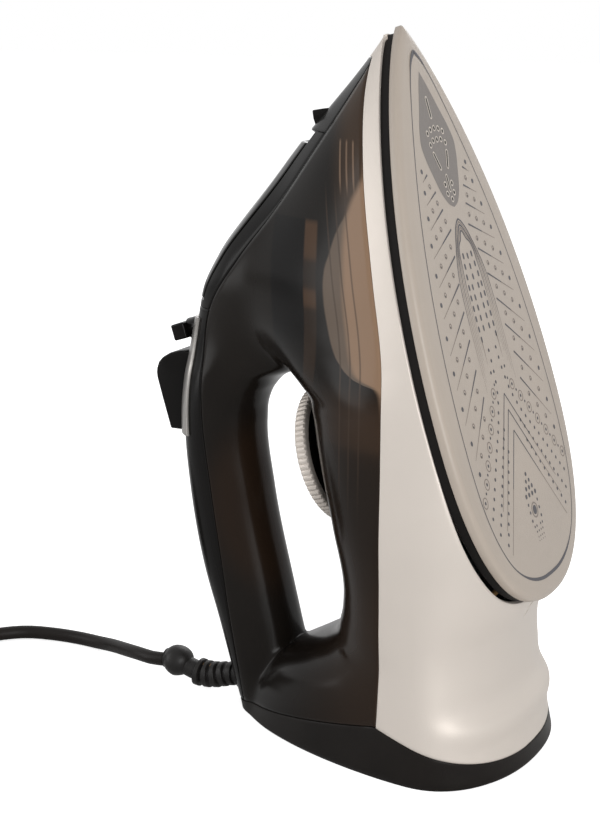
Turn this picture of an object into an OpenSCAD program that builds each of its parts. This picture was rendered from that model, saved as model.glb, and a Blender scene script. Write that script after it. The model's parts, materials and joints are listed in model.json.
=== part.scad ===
// Steam iron, standing on its heel. The heel face lies in z = 0, with its centre at the origin.
// +X points from the handle to the soleplate, +Y across the iron, +Z up towards the tip.

/* [Overall] */
// Height of the iron as it stands
overall_height = 292; // [260:1:350]
// Width of the soleplate
sole_width = 120; // [104:1:144]
// Lean of the soleplate from the vertical
sole_tilt = 17.3; // [16.5:0.1:18]

/* [Shells] */
// Wall of the plastic shells
wall = 2.2; // [1.8:0.1:2.8]
// Width of the handle
handle_width = 33; // [31:0.5:40]
// Gap round the fill lid and the buttons
gap = 0.4; // [0.3:0.1:0.8]
// Thickness of the floor of the heel
heel_floor = 3; // [2:0.5:4]

/* [Soleplate] */
// Thickness of the soleplate's edge
sole_edge = 3.4; // [2.8:0.1:5]
// Height of the dark gap between soleplate and skirt
gasket_height = 4.1; // [3:0.1:6]
// Radius of the heating tube
element_r = 3.5; // [3:0.1:4.2]
// Radius of a steam hole
steam_hole_r = 1.1; // [0.8:0.1:1.4]

/* [Controls] */
// Radius of the thermostat dial
dial_r = 29; // [23:0.5:31]
// Thickness of the thermostat dial
dial_h = 5.2; // [4.4:0.1:8]
// Radius of the thermostat shaft
shaft_r = 3; // [2.4:0.1:3.6]
// Travel of the spray and steam buttons
button_travel = 4; // [3:0.5:5]
// Outer radius of a pump cylinder
pump_r = 5.4; // [4.4:0.1:6.2]
// Radius of the steam metering rod
rod_r = 2; // [1.6:0.1:2.4]

/* [Cord] */
// Diameter of the cord
cord_d = 6.2; // [5:0.1:7.5]
// Radius of the ball at the end of the cord boot
ball_r = 7.2; // [6:0.1:8]

/* [Hidden] */
$fn = 48;
EPS = 0.01;

k = overall_height / 292;   // the side profile below is drawn 292 high
ky = sole_width / 120;      // and the plan 120 wide
st = sin(sole_tilt);
ct = cos(sole_tilt);
sole_rear = [70, 70.6];     // rear end of the soleplate's face
rim = sole_edge + gasket_height;
sole_len = 232;

// Smooth curve through [[place, value], ...], flat beyond its ends
function slope_at(t, i) =
    let(n = len(t) - 1,
        a = i > 0 ? (t[i][1] - t[i-1][1]) / (t[i][0] - t[i-1][0]) : undef,
        b = i < n ? (t[i+1][1] - t[i][1]) / (t[i+1][0] - t[i][0]) : undef)
    i == 0 ? b : i == n ? a :
    (a * (t[i+1][0] - t[i][0]) + b * (t[i][0] - t[i-1][0])) / (t[i+1][0] - t[i-1][0]);
function span_of(t, x, lo, hi) =
    hi - lo <= 1 ? lo : let(m = floor((lo + hi) / 2)) t[m][0] > x ? span_of(t, x, lo, m) : span_of(t, x, m, hi);
function curve(t, x) =
    let(q = min(max(x, t[0][0]), t[len(t)-1][0]), i = span_of(t, q, 0, len(t) - 1),
        h = t[i+1][0] - t[i][0], u = (q - t[i][0]) / h)
    (2*u^3 - 3*u^2 + 1) * t[i][1] + (u^3 - 2*u^2 + u) * h * slope_at(t, i)
    + (3*u^2 - 2*u^3) * t[i+1][1] + (u^3 - u^2) * h * slope_at(t, i + 1);
function spow(q, e) = sign(q) * abs(q) ^ e;
function mix(a, b, u) = a + (b - a) * u;

// Side profile, as [height, x]. Back is the handle's outside, crown is the top of the wide body,
// rear is its heel end, and grip is the handle's inside.
back_line = [[0, -68], [20, -74.5], [40, -80.5], [60, -87], [97, -94], [126, -96], [141, -95],
    [156, -92.5], [171, -88.5], [186, -83.5], [198, -76], [219, -60.5], [238, -46], [261, -26],
    [281, -10.5], [292, -3]];
grip_line = [[0, -36], [20, -41], [54, -49], [97, -58.5], [126, -62], [135, -61], [142, -57.5],
    [148, -51], [152, -42], [160, -28], [200, -29], [229, -10], [257, 2], [292, 5]];
crown_line = [[0, -66], [20, -57], [30, -48], [38, -34], [45, -22], [57, -15], [70, -12], [98, -16],
    [130, -25.4], [142, -28.8], [148, -31.5], [153, -38], [158, -45], [166, -54], [176, -62], [188, -67],
    [199, -66.5], [212, -60.5], [238, -45], [261, -26], [281, -10.5], [292, -3]];
rear_line = [[0, 66], [14, 63], [24, 63.5], [29, 59.5], [40, 57], [55, 57], [68, 62.6], [90, 70],
    [150, 90], [300, 140]];
width_line = [[0, 54], [44, 54], [80, 57], [100, 59.5], [145, 60]];
arch_line = [[0, 1.4], [45, 1.9], [60, 2.4], [130, 2.4], [148, 2.1], [162, 1.5], [176, 1.25],
    [200, 1.25], [292, 1.3]];
fall_line = [[0, 1], [45, 0.9], [60, 0.84], [130, 0.84], [150, 0.93], [180, 1.1], [292, 1.1]];
handle_line = [[0, 1.03], [40, 1.02], [60, 1], [186, 1], [200, 0.97], [229, 0.82], [257, 0.55],
    [284, 0.22], [292, 0.12]];
// Seams: silver to smoky, black strip to smoky, and the top edge of the heel cover
seam_line = [[0, 15], [60, 18], [130, 20.5], [170, 19], [200, 12.5], [240, 1], [270, -7], [284, -9.4]];
strip_line = [[0, -62.5], [15, -65], [41, -69.5], [67, -73.5], [97, -78], [131, -82], [153, -82],
    [175, -79], [199, -62], [219, -46], [246, -27], [271, -12], [292, -2]];
heel_peak = [15, 22];
function heel_top(x) = heel_peak[1] - abs(x - heel_peak[0]) * (x < heel_peak[0] ? 0.22 : 0.31);

// Half width of the soleplate's outline, q from its rear end
widest = 80;
function outline(q) = q >= sole_len || q <= 0 ? 0 :
    q > widest ? 60 * (1 - ((q - widest) / (sole_len - widest))^2)^0.85
    : 60 * (1 - ((widest - q) / widest)^2.3)^(1 / 2.3);
function rim_x(z) = sole_rear[0] - rim / ct - (z - sole_rear[1]) * st / ct;

// Square of the half width of the body at (x, z): the wide body and the handle, blended
middle = 32;
function wide(x, z) =
    let(w = z > 145 ? outline(min((z - sole_rear[1] + rim * st) / ct, sole_len - 0.1)) : curve(width_line, z),
        m = min(middle, rim_x(z)), c = curve(crown_line, z), r = curve(rear_line, z))
    w^2 * (x < m ? spow(1 - ((m - x) / max(m - c, 0.5))^curve(arch_line, z), curve(fall_line, z))
        : spow(1 - (max(x - m, 0) / max(r - m, 1))^2.2, 2 / 2.2));
function grip(x, z) =
    let(o = curve(back_line, z), i = curve(grip_line, z))
    curve(handle_line, z)^2 * spow(1 - abs((2 * x - o - i) / (i - o))^2.5, 0.85);
// Softness of the joint between body and handle
blend_line = [[0, 120], [140, 120], [165, 420], [200, 420], [232, 120], [292, 120]];
function fullness(x, z) =
    let(a = wide(x, z) * ky^2, b = grip(x, z) * (handle_width / 2)^2)
    (a + b + sqrt((a - b)^2 + curve(blend_line, z)^2)) / 2;

// A point of the outer surface, or of the surface a depth under it; side is -1 or 1
function skin(x, z, side, depth = 0) =
    let(y = side * sqrt(max(fullness(x, z), 0)), d = 0.2,
        g = [(fullness(x + d, z) - fullness(x - d, z)) / (2 * d) / k, -2 * y,
            (fullness(x, z + d) - fullness(x, z - d)) / (2 * d) / k],
        p = [x * k, y, z * k])
    depth == 0 ? p : p + depth * g / norm(g);

// Place where the fullness falls to zero, between a point inside and one outside
function edge_between(a, b, n = 18) =
    n == 0 ? (a + b) / 2 : let(m = (a + b) / 2) fullness(m[0], m[1]) > 0
        ? edge_between(m, b, n - 1) : edge_between(a, m, n - 1);
function back_x(z) = edge_between([curve(back_line, z) + 4, z], [curve(back_line, z) - 6, z])[0];

// A closed solid from rings of points: each ring is closed, and the rings close up too if loop is true
module ring_solid(rings, loop = false) {
    n = len(rings);
    m = len(rings[0]);
    side = [for (i = [0:n - (loop ? 1 : 2)], j = [0:m - 1])
        let(a = i * m + j, b = i * m + (j + 1) % m, c = ((i + 1) % n) * m + (j + 1) % m, d = ((i + 1) % n) * m + j)
        each [[a, b, c], [a, c, d]]];
    last = (n - 1) * m;
    ends = loop ? [] : [for (j = [0:m / 2 - 2])
        let(a = j, b = j + 1, c = m - 2 - j, d = m - 1 - j)
        each [[a, c, b], [a, d, c], [last + a, last + b, last + c], [last + a, last + c, last + d]]];
    polyhedron([for (r = rings) each r], concat(side, ends), convexity = 10);
}

// Moves a shape drawn over the soleplate, z from its face into the iron, to the standing iron
module over_sole() {
    translate([sole_rear[0] * k, 0, sole_rear[1] * k])
        rotate([0, -(90 + sole_tilt), 0])
            children();
}
function lift(q, h) = [sole_rear[0] * k - q * st - h * ct, 0, sole_rear[1] * k + q * ct - h * st];

/* ---- shells ---- */

// The smoky shell is a loop of C sections round the finger opening
eye = [-40, 95];
ray_angles = concat([for (a = [-12:6:54]) a], [for (a = [60:2.5:92.5]) a], [for (a = [96:6:126]) a],
    [for (a = [134:9:242]) a], [for (a = [250:7:341]) a]);
seam_gap = 0.3;
function strip_x(z) = min(curve(strip_line, z), curve(seam_line, z) - 0.4);
function smoky(p) =
    min(curve(seam_line, p[1]) - p[0], p[1] - heel_top(p[0]), p[0] - strip_x(p[1]), seam_tip_z - p[1]) - seam_gap;
function along(a, r) = eye + r * [cos(a), sin(a)];
function first_inside(a, r) = fullness(along(a, r)[0], along(a, r)[1]) > 0 ? r : first_inside(a, r + 2);
function leave(a, lo, hi, n = 16) =
    n == 0 ? lo : let(m = (lo + hi) / 2) smoky(along(a, m)) > 0 ? leave(a, m, hi, n - 1) : leave(a, lo, m, n - 1);
function first_outside(a, r) = smoky(along(a, r)) < 0 ? r : first_outside(a, r + 2);
shell_steps = 12;
function shell_section(a) =
    let(ri = first_inside(a, 8), p = edge_between(along(a, ri), along(a, ri - 2)), r0 = norm(p - eye),
        r1 = leave(a, r0 + 1, first_outside(a, r0 + 1)),
        path = [for (i = [-shell_steps:shell_steps])
            let(u = abs(i) / shell_steps, q = along(a, mix(r0, r1, 0.55 * u^2 + 0.45 * u^1.3))) [q, i < 0 ? -1 : 1]])
    concat([for (s = path) skin(s[0][0], s[0][1], s[1])],
        [for (i = [len(path) - 1:-1:0]) skin(path[i][0][0], path[i][0][1], path[i][1], wall)]);

module body_shell() {
    color([0.09, 0.07, 0.06])
        difference() {
            ring_solid([for (a = ray_angles) shell_section(a)], loop = true);
            over_sole()
                translate([dial_q, 0, dial_seat - 12])
                    cylinder(r = shaft_r + 0.5, h = 16);
        }
}

// Strips that cross the back of the body: g runs from the spine (0) to the strip's edge (1)
function strip_ring(z, reach, top, under, steps = 6) =
    let(b = back_x(z), e = mix(b, strip_x(z), reach),
        path = [for (i = [-steps:steps]) [mix(b, e, (i / steps)^2), i < 0 ? -1 : 1]])
    concat([for (s = path) skin(s[0], z, s[1], top)],
        [for (i = [len(path) - 1:-1:0]) skin(path[i][0], z, path[i][1], under)]);
module strip_solid(z0, z1, n, reach = 1, top = 0, under = wall) {
    ring_solid([for (i = [0:n]) strip_ring(mix(z0, z1, i / n), reach, top, under)]);
}

// The silver skirt: columns from its upper seam (w = 0) to its rim (w = 1), all the way round
turn_q = 0.3;
skirt_cols = 24;
skirt_rows = 11;
tip_z = 288.3;
seam_tip_z = 280;
rim_turn_z = 102;
function ease(q) = let(u = (q - turn_q) / (1 - turn_q)) 0.45 * u + 0.55 * sin(90 * u);
function across(x, z) = (x - middle) / (curve(rear_line, z) - middle);
function seam_end(q) =
    q <= turn_q ? let(x = mix(heel_peak[0], curve(rear_line, 8), cos(90 * q / turn_q)^0.9)) [x, heel_top(x)]
    : let(z = mix(heel_peak[1], seam_tip_z, ease(q))) [curve(seam_line, z), z];
function rim_end(q) =
    let(z0 = sole_rear[1] - rim * st,
        z = q <= turn_q ? mix(rim_turn_z, z0, cos(90 * q / turn_q)) : mix(rim_turn_z, tip_z, ease(q)))
    [rim_x(z), z];
function skirt_place(q, w) =
    let(a = seam_end(q), b = rim_end(q), z = mix(a[1], b[1], w))
    q >= 1 ? [back_x(z), z] :
    q <= 0 ? [curve(rear_line, z), z] :
    [middle + mix(across(a[0], a[1]), across(b[0], b[1]), w) * (curve(rear_line, z) - middle), z];
function skirt_section(q, side) =
    let(path = [for (i = [0:skirt_rows]) skirt_place(q, i / skirt_rows)])
    concat([for (p = path) skin(p[0], p[1], side)],
        [for (i = [skirt_rows:-1:0]) skin(path[i][0], path[i][1], side, wall)]);

module skirt() {
    qs = [for (i = [0:skirt_cols]) (i / skirt_cols)];
    color([0.85, 0.83, 0.8])
        ring_solid(concat(
            [for (i = [0:skirt_cols]) skirt_section(qs[i], i == 0 || i == skirt_cols ? 0 : 1)],
            [for (i = [skirt_cols - 1:-1:1]) skirt_section(qs[i], -1)]), loop = true);
}

// The heel cover is a bowl: rings from its face on the table, up the outside, and down the inside
heel_cols = 40;
heel_chamfer = 1.2;
function heel_span(z) = [back_x(z), edge_between([curve(rear_line, z) - 4, z], [curve(rear_line, z) + 4, z])[0]];
function heel_x(g, z) = let(s = heel_span(z)) mix(s[0], s[1], g);
function heel_edge(g) = let(z = heel_top(heel_x(g, 10))) heel_top(heel_x(g, max(z, 1)));
function heel_ring(share, depth, floor_z = undef) =
    [for (i = [0:heel_cols - 1])
        let(a = 360 * i / heel_cols, g = (1 - cos(a)) / 2, z = max(heel_edge(g), 3.4) * share,
            p = skin(heel_x(g, z), z, abs(sin(a)) < EPS ? 0 : sign(sin(a)), depth))
        is_undef(floor_z) ? p : [p[0], p[1], floor_z]];

module heel_cover() {
    color([0.06, 0.06, 0.06])
        difference() {
            ring_solid([heel_ring(0, heel_chamfer, 0), heel_ring(0.1, 0), heel_ring(0.5, 0), heel_ring(1, 0),
                heel_ring(1, wall), heel_ring(0.55, wall * 1.02), heel_ring(0.5, wall * 1.05, heel_floor)]);
            for (s = [-1, 1])
                translate([clamp_x * k, s * clamp_screw_y, -1]) {
                    cylinder(r = screw_r + 0.2, h = heel_floor + 2);
                    cylinder(r = screw_head_r + 0.2, h = 2.9);
                }
        }
}

module handle_cover() {
    color([0.03, 0.03, 0.03])
        difference() {
            strip_solid(5.6, 175.6, 24);
            for (s = [-1, 1])
                button_window(s);
            lever_hole();
            cord_hole();
        }
}

/* ---- controls on the handle ---- */

button_low = 121;
button_high = 155.5;
button_base = -91.5;
button_w = 9.3;
button_split = 0.3;
pump_z = 139;
pump_top = -83;
pump_len = 17;
piston_clear = 0.06;
pump_wall = 1.1;
function pump_y() = pump_r + button_split;

module button_window(s) {
    translate([-110 * k, s > 0 ? 0 : -button_w - gap, (button_low - gap) * k])
        cube([26 * k, button_w + gap, (button_high - button_low + 2 * gap) * k]);
}

module pump_button(s) {
    outline = [[button_base, button_high], [-97, button_high], [-105, 152], [-108, 147], [-108, 143],
        [-101.5, button_low], [button_base, button_low]];
    union() {
        translate([0, s > 0 ? button_w : -button_split, 0])
            rotate([90, 0, 0])
                linear_extrude(button_w - button_split)
                    polygon(outline * k);
        translate([button_base * k - 1, s * pump_y(), pump_z * k])
            rotate([0, 90, 0]) {
                cylinder(r = 1.8, h = (pump_top - button_base) * k + 5);
                translate([0, 0, (pump_top - button_base) * k + 3])
                    cylinder(r = pump_r - pump_wall - piston_clear, h = 3);
            }
    }
}
module spray_button() { color([0.05, 0.05, 0.05]) pump_button(-1); }
module burst_button() { color([0.05, 0.05, 0.05]) pump_button(1); }

// A round wire coiled along +X from the pump's flange to the button
spring_wire = 0.35;
spring_turns = 4;
module button_spring(s) {
    len_x = (pump_top - button_base) * k - 2 * spring_wire - 0.2;
    r = 2.9;
    ring_solid([for (i = [0:12 * spring_turns])
        let(a = 30 * i, x = button_base * k + spring_wire + 0.1 + len_x * i / (12 * spring_turns))
        [for (j = [0:5])
            let(q = r + spring_wire * cos(60 * j))
            [x + spring_wire * sin(60 * j), s * pump_y() + q * cos(a), pump_z * k + q * sin(a)]]]);
}
module spray_spring() { color("silver") button_spring(-1); }
module burst_spring() { color("silver") button_spring(1); }

module pump(s) {
    difference() {
        union() {
            translate([pump_top * k, s * pump_y(), pump_z * k])
                rotate([0, 90, 0])
                    cylinder(r = pump_r, h = pump_len * k);
            translate([pump_top * k, s > 0 ? 0.15 : -pump_seat_y, pump_z * k - pump_r])
                cube([1.6, pump_seat_y - 0.15, 2 * pump_r]);
        }
        translate([pump_top * k - 1, s * pump_y(), pump_z * k])
            rotate([0, 90, 0])
                cylinder(r = pump_r - pump_wall, h = pump_len * k - 1);
    }
}
pump_seat_y = sqrt(fullness(pump_top + 1, pump_z)) - wall - 0.35;
module spray_pump() { color("white") pump(-1); }
module burst_pump() { color("white") pump(1); }

// Bent tubes through a few points
function tube_ring(p, d, r, n) =
    let(u = d / norm(d), a = cross(u, abs(u[1]) > 0.9 ? [1, 0, 0] : [0, 1, 0]), v = a / norm(a), w = cross(u, v))
    [for (j = [0:n - 1]) p + r * (v * cos(360 * j / n) - w * sin(360 * j / n))];
function on_curve(t, u) =
    let(n = len(t), i = min(floor(u), n - 2), f = u - i, a = t[max(i - 1, 0)], b = t[i], c = t[i + 1],
        d = t[min(i + 2, n - 1)])
    0.5 * (2 * b + (c - a) * f + (2*a - 5*b + 4*c - d) * f^2 + (3*b - a - 3*c + d) * f^3);
module bent_tube(points, r, per = 3, n = 8) {
    m = (len(points) - 1) * per;
    at = [for (i = [0:m]) on_curve(points, i / per)];
    ring_solid([for (i = [0:m]) tube_ring(at[i], at[min(i + 1, m)] - at[max(i - 1, 0)], r, n)]);
}

pump_end = [(pump_top + pump_len) * k, pump_y(), pump_z * k];
hose_r = 1.5;
module spray_tube() {
    color("white")
        bent_tube([pump_end + [0.1, -2 * pump_y(), 0], [-63.5 * k, -pump_y(), 146 * k], [-62 * k, -6, 165 * k],
            [-50 * k, -6, 190 * k], [-33 * k, -5, 222 * k], [-24 * k, -2, 245 * k], nozzle_in], hose_r);
}
burst_q = 118;
module burst_tube() {
    color("white")
        bent_tube([pump_end + [0.1, 0, 0], [-63.5 * k, pump_y(), 146 * k], [-58 * k, 8, 160 * k],
            [-35 * k, 10, 166 * k], [-5 * k, 10, 163 * k], [15 * k, 10, 165 * k],
            lift(burst_q * k, cover_top + 6) + [0, 10, 0], lift(burst_q * k, cover_top + 0.1) + [0, 10, 0]], hose_r);
}

plate_low = 120;
plate_high = 171;
plate_reach = 0.62;
plate_rise = 1.8;
module control_plate() {
    color([0.8, 0.8, 0.8])
        difference() {
            strip_solid(plate_low, plate_high, 8, plate_reach, -plate_rise, -0.08);
            for (s = [-1, 1])
                button_window(s);
            lever_hole();
        }
}

// The steam lever turns about the metering rod, which stands square to the soleplate
lever_z = 165.5;
lever_spot = [back_x(lever_z), lever_z];
rod_q = ((sole_rear[0] - lever_spot[0]) * st + (lever_spot[1] - sole_rear[1]) * ct) * k;
lever_h = ((sole_rear[0] - lever_spot[0]) * ct - (lever_spot[1] - sole_rear[1]) * st) * k;
hub_r = 4.6;
hub_depth = 6;
fin_h = 11.5;
fin_base = 5.5;            // clears the proud plate when the lever turns
fin_w = 7;
fin_y = 13;
module lever_hole() {
    over_sole()
        translate([rod_q, 0, lever_h - 14])
            cylinder(r = hub_r + gap, h = 22);
}
module steam_lever() {
    color([0.05, 0.05, 0.05])
        over_sole()
            translate([rod_q, 0, lever_h])
                difference() {
                    union() {
                        translate([0, 0, -hub_depth])
                            cylinder(r = hub_r, h = hub_depth + 6);
                        translate([-fin_w / 2, -fin_y / 2, fin_base])
                            cube([fin_w, fin_y, fin_h - fin_base]);
                    }
                    translate([0, 0, -hub_depth - 1])
                        cylinder(r = rod_r, h = hub_depth + 3);
                }
}
module steam_rod() {
    color("silver")
        over_sole()
            translate([rod_q, 0, cover_top + 2.5])
                cylinder(r = rod_r, h = lever_h - cover_top - 2.5 - 2);
}

/* ---- front: bezel, lid, nose ---- */

bezel_low = 176;
bezel_high = 250.5;
recess_low = 179.2;
lid_low = 179.8;
lid_high = 246.2;
lid_reach = 0.62;
lid_sink = 2.9;
lid_thick = 2.3;
function bezel_ring(z, sunk) =
    let(b = back_x(z), e = strip_x(z), s = lid_reach + 0.04,
        half = [[0, sunk], [0.3, sunk], [s, sunk], [s + 0.03, 0], [0.85, 0], [1, 0]],
        path = concat([for (i = [5:-1:1]) [half[i], -1]], [for (i = [0:5]) [half[i], 1]]))
    concat([for (p = path) skin(mix(b, e, p[0][0]^2), z, p[1], p[0][1])],
        [for (i = [len(path) - 1:-1:0])
            skin(mix(b, e, path[i][0][0]^2), z, path[i][1], path[i][0][1] + wall)]);
lid_pin_z = 247.3;
lid_pin_r = 1.1;
knuckle_r = 2.3;
ear_y = 6.5;
function lid_pin_at() = let(p = skin(back_x(lid_pin_z), lid_pin_z, 0, lid_sink + 1)) [p[0], 0, p[2]];
fill_z = 214;
fill_r = 7;
seal_r = 1.2;
module fill_axis(depth) {
    p = skin(back_x(fill_z), fill_z, 0, 0);
    translate([p[0], 0, p[2]])
        rotate([0, 90 + 37, 0])
            translate([0, 0, depth])
                children();
}
module front_bezel() {
    zs = concat([bezel_low, recess_low], [for (i = [0:9]) mix(recess_low + 0.3, bezel_high, i / 9)]);
    color([0.05, 0.05, 0.05])
        difference() {
            union() {
                ring_solid([for (i = [0:len(zs) - 1]) bezel_ring(zs[i], i < 2 ? 0 : lid_sink)]);
                for (s = [-1, 1])
                    translate(lid_pin_at() + [0, s > 0 ? ear_y + 2.5 : -ear_y, 0])
                        rotate([90, 0, 0])
                            cylinder(r = knuckle_r - 0.3, h = 2.5);
                fill_axis(lid_sink + 2)
                    cylinder(r = fill_r + 2, h = 8);
            }
            translate(lid_pin_at() + [0, 12, 0])
                rotate([90, 0, 0])
                    cylinder(r = lid_pin_r, h = 24);
            translate(lid_pin_at() + [0, ear_y, 0])
                rotate([90, 0, 0])
                    cylinder(r = knuckle_r + gap, h = 2 * ear_y);
            fill_axis(-1)
                cylinder(r = fill_r, h = 20);
        }
}
module fill_lid() {
    color([0.08, 0.08, 0.08])
        difference() {
            union() {
                strip_solid(lid_low, lid_high, 10, lid_reach^2, 0, lid_thick);
                translate(lid_pin_at() + [0, ear_y - gap, 0])
                    rotate([90, 0, 0])
                        cylinder(r = knuckle_r, h = 2 * (ear_y - gap));
                fill_axis(1.2)
                    cylinder(r = fill_r - 1.5, h = 5);
            }
            for (s = [-1, 1])
                translate(lid_pin_at() + [0, s > 0 ? ear_y + 3.2 : -ear_y + gap, 0])
                    rotate([90, 0, 0])
                        cylinder(r = knuckle_r + gap, h = 3.2 + gap);
            translate(lid_pin_at() + [0, ear_y, 0])
                rotate([90, 0, 0])
                    cylinder(r = lid_pin_r + 0.05, h = 2 * ear_y);
        }
}
module lid_pin() {
    color("silver")
        translate(lid_pin_at() + [0, ear_y + 2.5, 0])
            rotate([90, 0, 0])
                cylinder(r = lid_pin_r, h = 2 * ear_y + 5);
}
module lid_seal() {
    color([0.3, 0.3, 0.3])
        fill_axis(4.6)
            difference() {
                cylinder(r = fill_r - 0.3, h = 1.5);
                translate([0, 0, -1])
                    cylinder(r = fill_r - 1.5, h = 4);
            }
}
cap_reach = 0.96;          // the cap stops short of the skirt, where both narrow to the tip
cap_short = 6;
module nose_cap() {
    color([0.2, 0.19, 0.18])
        difference() {
            strip_solid(bezel_high + gap, seam_tip_z - cap_short, 9, cap_reach);
            translate(nozzle_in)
                rotate([0, -75, 0])
                    cylinder(r = hose_r + 0.2, h = 14);
        }
}
nozzle_in = [-20.5 * k, 0, 253 * k];
module spray_nozzle() {
    color([0.04, 0.04, 0.04])
        difference() {
            translate([0, 6, 0])
                rotate([90, 0, 0])
                    linear_extrude(12)
                        polygon(k * [[-35.5, 258.5], [-24, 260], [-26, 251.5], [-33.8, 252]]);
            strip_solid(248, 264, 4, 1, -0.02, 9);
            translate(nozzle_in)
                rotate([0, -75, 0])
                    cylinder(r = 0.7, h = 30);
        }
}

/* ---- soleplate and what stands on it ---- */

face_rise = 1.6;            // the middle of the face stands proud of its edge
casting_top = 13;
cover_top = casting_top + 1.5;
chamber = [30, 149];      // from and to, along the soleplate
chamber_y = 17;
element_y = 25;
element_bend = 152;
floor_low = 27;
floor_thick = 2.4;
post_places = [[38, 40], [128, 33]];
screw_r = 1.5;
screw_head_r = 3;
dial_z = 119;
dial_lift = 2.6;           // keeps the dial clear of the body's curve
dial_floor = 1.8;
cap_drop = 0.6;            // how far the cap lies below the dial's edge
cap_bore = 1.2;            // depth of the shaft's hole in the cap
dial_spot = [curve(crown_line, dial_z), dial_z];
dial_q = ((sole_rear[0] - dial_spot[0]) * st + (dial_spot[1] - sole_rear[1]) * ct) * k;
dial_seat = ((sole_rear[0] - dial_spot[0]) * ct - (dial_spot[1] - sole_rear[1]) * st) * k + dial_lift;

// The soleplate's outline as a polygon, drawn in all round by a margin
module plan(margin, n = 34) {
    q1 = sole_len - margin * 2.2;
    side = [for (i = [0:n])
        let(u = (1 - cos(180 * i / n)) / 2)
        [mix(margin, q1, u) * k, outline(u * sole_len) * (1 - margin / 60) * ky]];
    polygon(concat(side, [for (i = [n - 1:-1:1]) [side[i][0], -side[i][1]]]));
}
module post_holes(r, h0, h) {
    for (p = post_places, s = [-1, 1])
        translate([p[0] * k, s * p[1] * ky, h0])
            cylinder(r = r, h = h);
}
hole_rows = [[60, 12], [78, 13.5], [96, 14.5], [114, 14.5], [132, 13.5]];
module soleplate() {
    color([0.72, 0.67, 0.6])
        over_sole()
            difference() {
                union() {
                    linear_extrude(sole_edge)
                        plan(0);
                    translate([0, 0, -face_rise])
                        linear_extrude(face_rise + EPS)
                            plan(4);
                    translate([0, 0, sole_edge - EPS])
                        linear_extrude(casting_top - sole_edge)
                            plan(9.5);
                }
                translate([chamber[0] * k, -chamber_y, casting_top - 5])
                    cube([(chamber[1] - chamber[0]) * k, 2 * chamber_y, 6]);
                for (p = hole_rows, s = [-1, 1])
                    translate([p[0] * k, s * p[1], -face_rise - 1])
                        cylinder(r = steam_hole_r, h = casting_top);
                for (q = [134, 140, 146], s = [-1, 0, 1])
                    translate([q * k, s * 5, -face_rise - 1])
                        cylinder(r = steam_hole_r, h = casting_top);
                element_shape(element_r, 4);
                post_holes(screw_r, casting_top - 7, 8);
            }
}
// The heating tube lies in the casting, half sunk: two legs and a bend at the front
module element_shape(r, rise) {
    translate([0, 0, casting_top - r + 1]) {
        for (s = [-1, 1])
            translate([18 * k, s * element_y, 0])
                rotate([0, 90, 0])
                    cylinder(r = r, h = (element_bend - 18) * k + EPS);
        translate([element_bend * k, 0, 0])
            rotate_extrude(angle = 180, start = -90)
                translate([element_y, 0])
                    circle(r);
        if (rise > 0) {
            for (s = [-1, 1])
                translate([18 * k, s * element_y - r, 0])
                    cube([(element_bend - 18) * k, 2 * r, rise]);
            translate([element_bend * k, 0, 0])
                rotate_extrude(angle = 180, start = -90)
                    translate([element_y - r, 0])
                        square([2 * r, rise]);
        }
    }
}
module heating_element() {
    color([0.45, 0.43, 0.4])
        over_sole()
            union() {
                element_shape(element_r, 0);
                for (s = [-1, 1])
                    translate([12 * k, s * element_y, casting_top - element_r + 1])
                        rotate([0, 90, 0])
                            cylinder(r = 1.2, h = 6 * k + 1);
            }
}
module chamber_cover() {
    color([0.7, 0.7, 0.72])
        over_sole()
            difference() {
                translate([(chamber[0] - 3) * k, -chamber_y - 2.5, casting_top])
                    cube([(chamber[1] - chamber[0] + 3) * k, 2 * chamber_y + 5, cover_top - casting_top]);
                translate([rod_q, 0, casting_top - 1])
                    cylinder(r = 1.2, h = 4);
                translate([burst_q * k, 10, casting_top - 1])
                    cylinder(r = hose_r - 0.3, h = 4);
            }
}
module sole_gasket() {
    color([0.05, 0.05, 0.05])
        over_sole()
            translate([0, 0, sole_edge])
                difference() {
                    linear_extrude(gasket_height - 0.05)
                        plan(0.3);
                    translate([0, 0, -1])
                        linear_extrude(gasket_height + 2)
                            plan(9);
                }
}
module tank_floor() {
    color([0.15, 0.15, 0.15])
        over_sole()
            difference() {
                union() {
                    translate([0, 0, floor_low])
                        linear_extrude(floor_thick)
                            polygon([for (i = [0:40])
                                let(a = 360 * i / 41, q = mix(12, 186, (1 - cos(a)) / 2))
                                [q * k, (sin(a) > 0 ? 1 : -1) * (0.85 * outline(q) * ky - 4) * (abs(sin(a)) < 0.1 ? 0.5 : 1)]]);
                    post_holes(4, casting_top, floor_low - casting_top + EPS);
                }
                post_holes(screw_r + 0.2, casting_top - 1, 30);
                translate([rod_q, 0, 0])
                    cylinder(r = rod_r + 0.4, h = 60);
                translate([dial_q, 0, 0])
                    cylinder(r = shaft_r + 0.5, h = 60);
                translate([burst_q * k - 16, 5, floor_low - 1])
                    cube([24, 11, 6]);
            }
}
module frame_screws() {
    color("silver") {
        over_sole() {
            post_holes(screw_r, casting_top - 6, floor_low + floor_thick - casting_top + 6);
            post_holes(screw_head_r, floor_low + floor_thick, 1.6);
        }
        for (s = [-1, 1])
            translate([clamp_x * k, s * clamp_screw_y, 0.4]) {
                cylinder(r = screw_r, h = 8);
                cylinder(r = screw_head_r, h = 1.5);
            }
    }
}
module drip_valve() {
    color([0.8, 0.75, 0.5])
        over_sole()
            translate([rod_q, 0, cover_top])
                difference() {
                    cylinder(r = 4.5, h = 8);
                    translate([0, 0, 2.4])
                        cylinder(r = rod_r + 0.06, h = 7);
                    translate([0, 0, -1])
                        cylinder(r = 1.2, h = 5);
                }
}
thermostat_h = 9;
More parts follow.
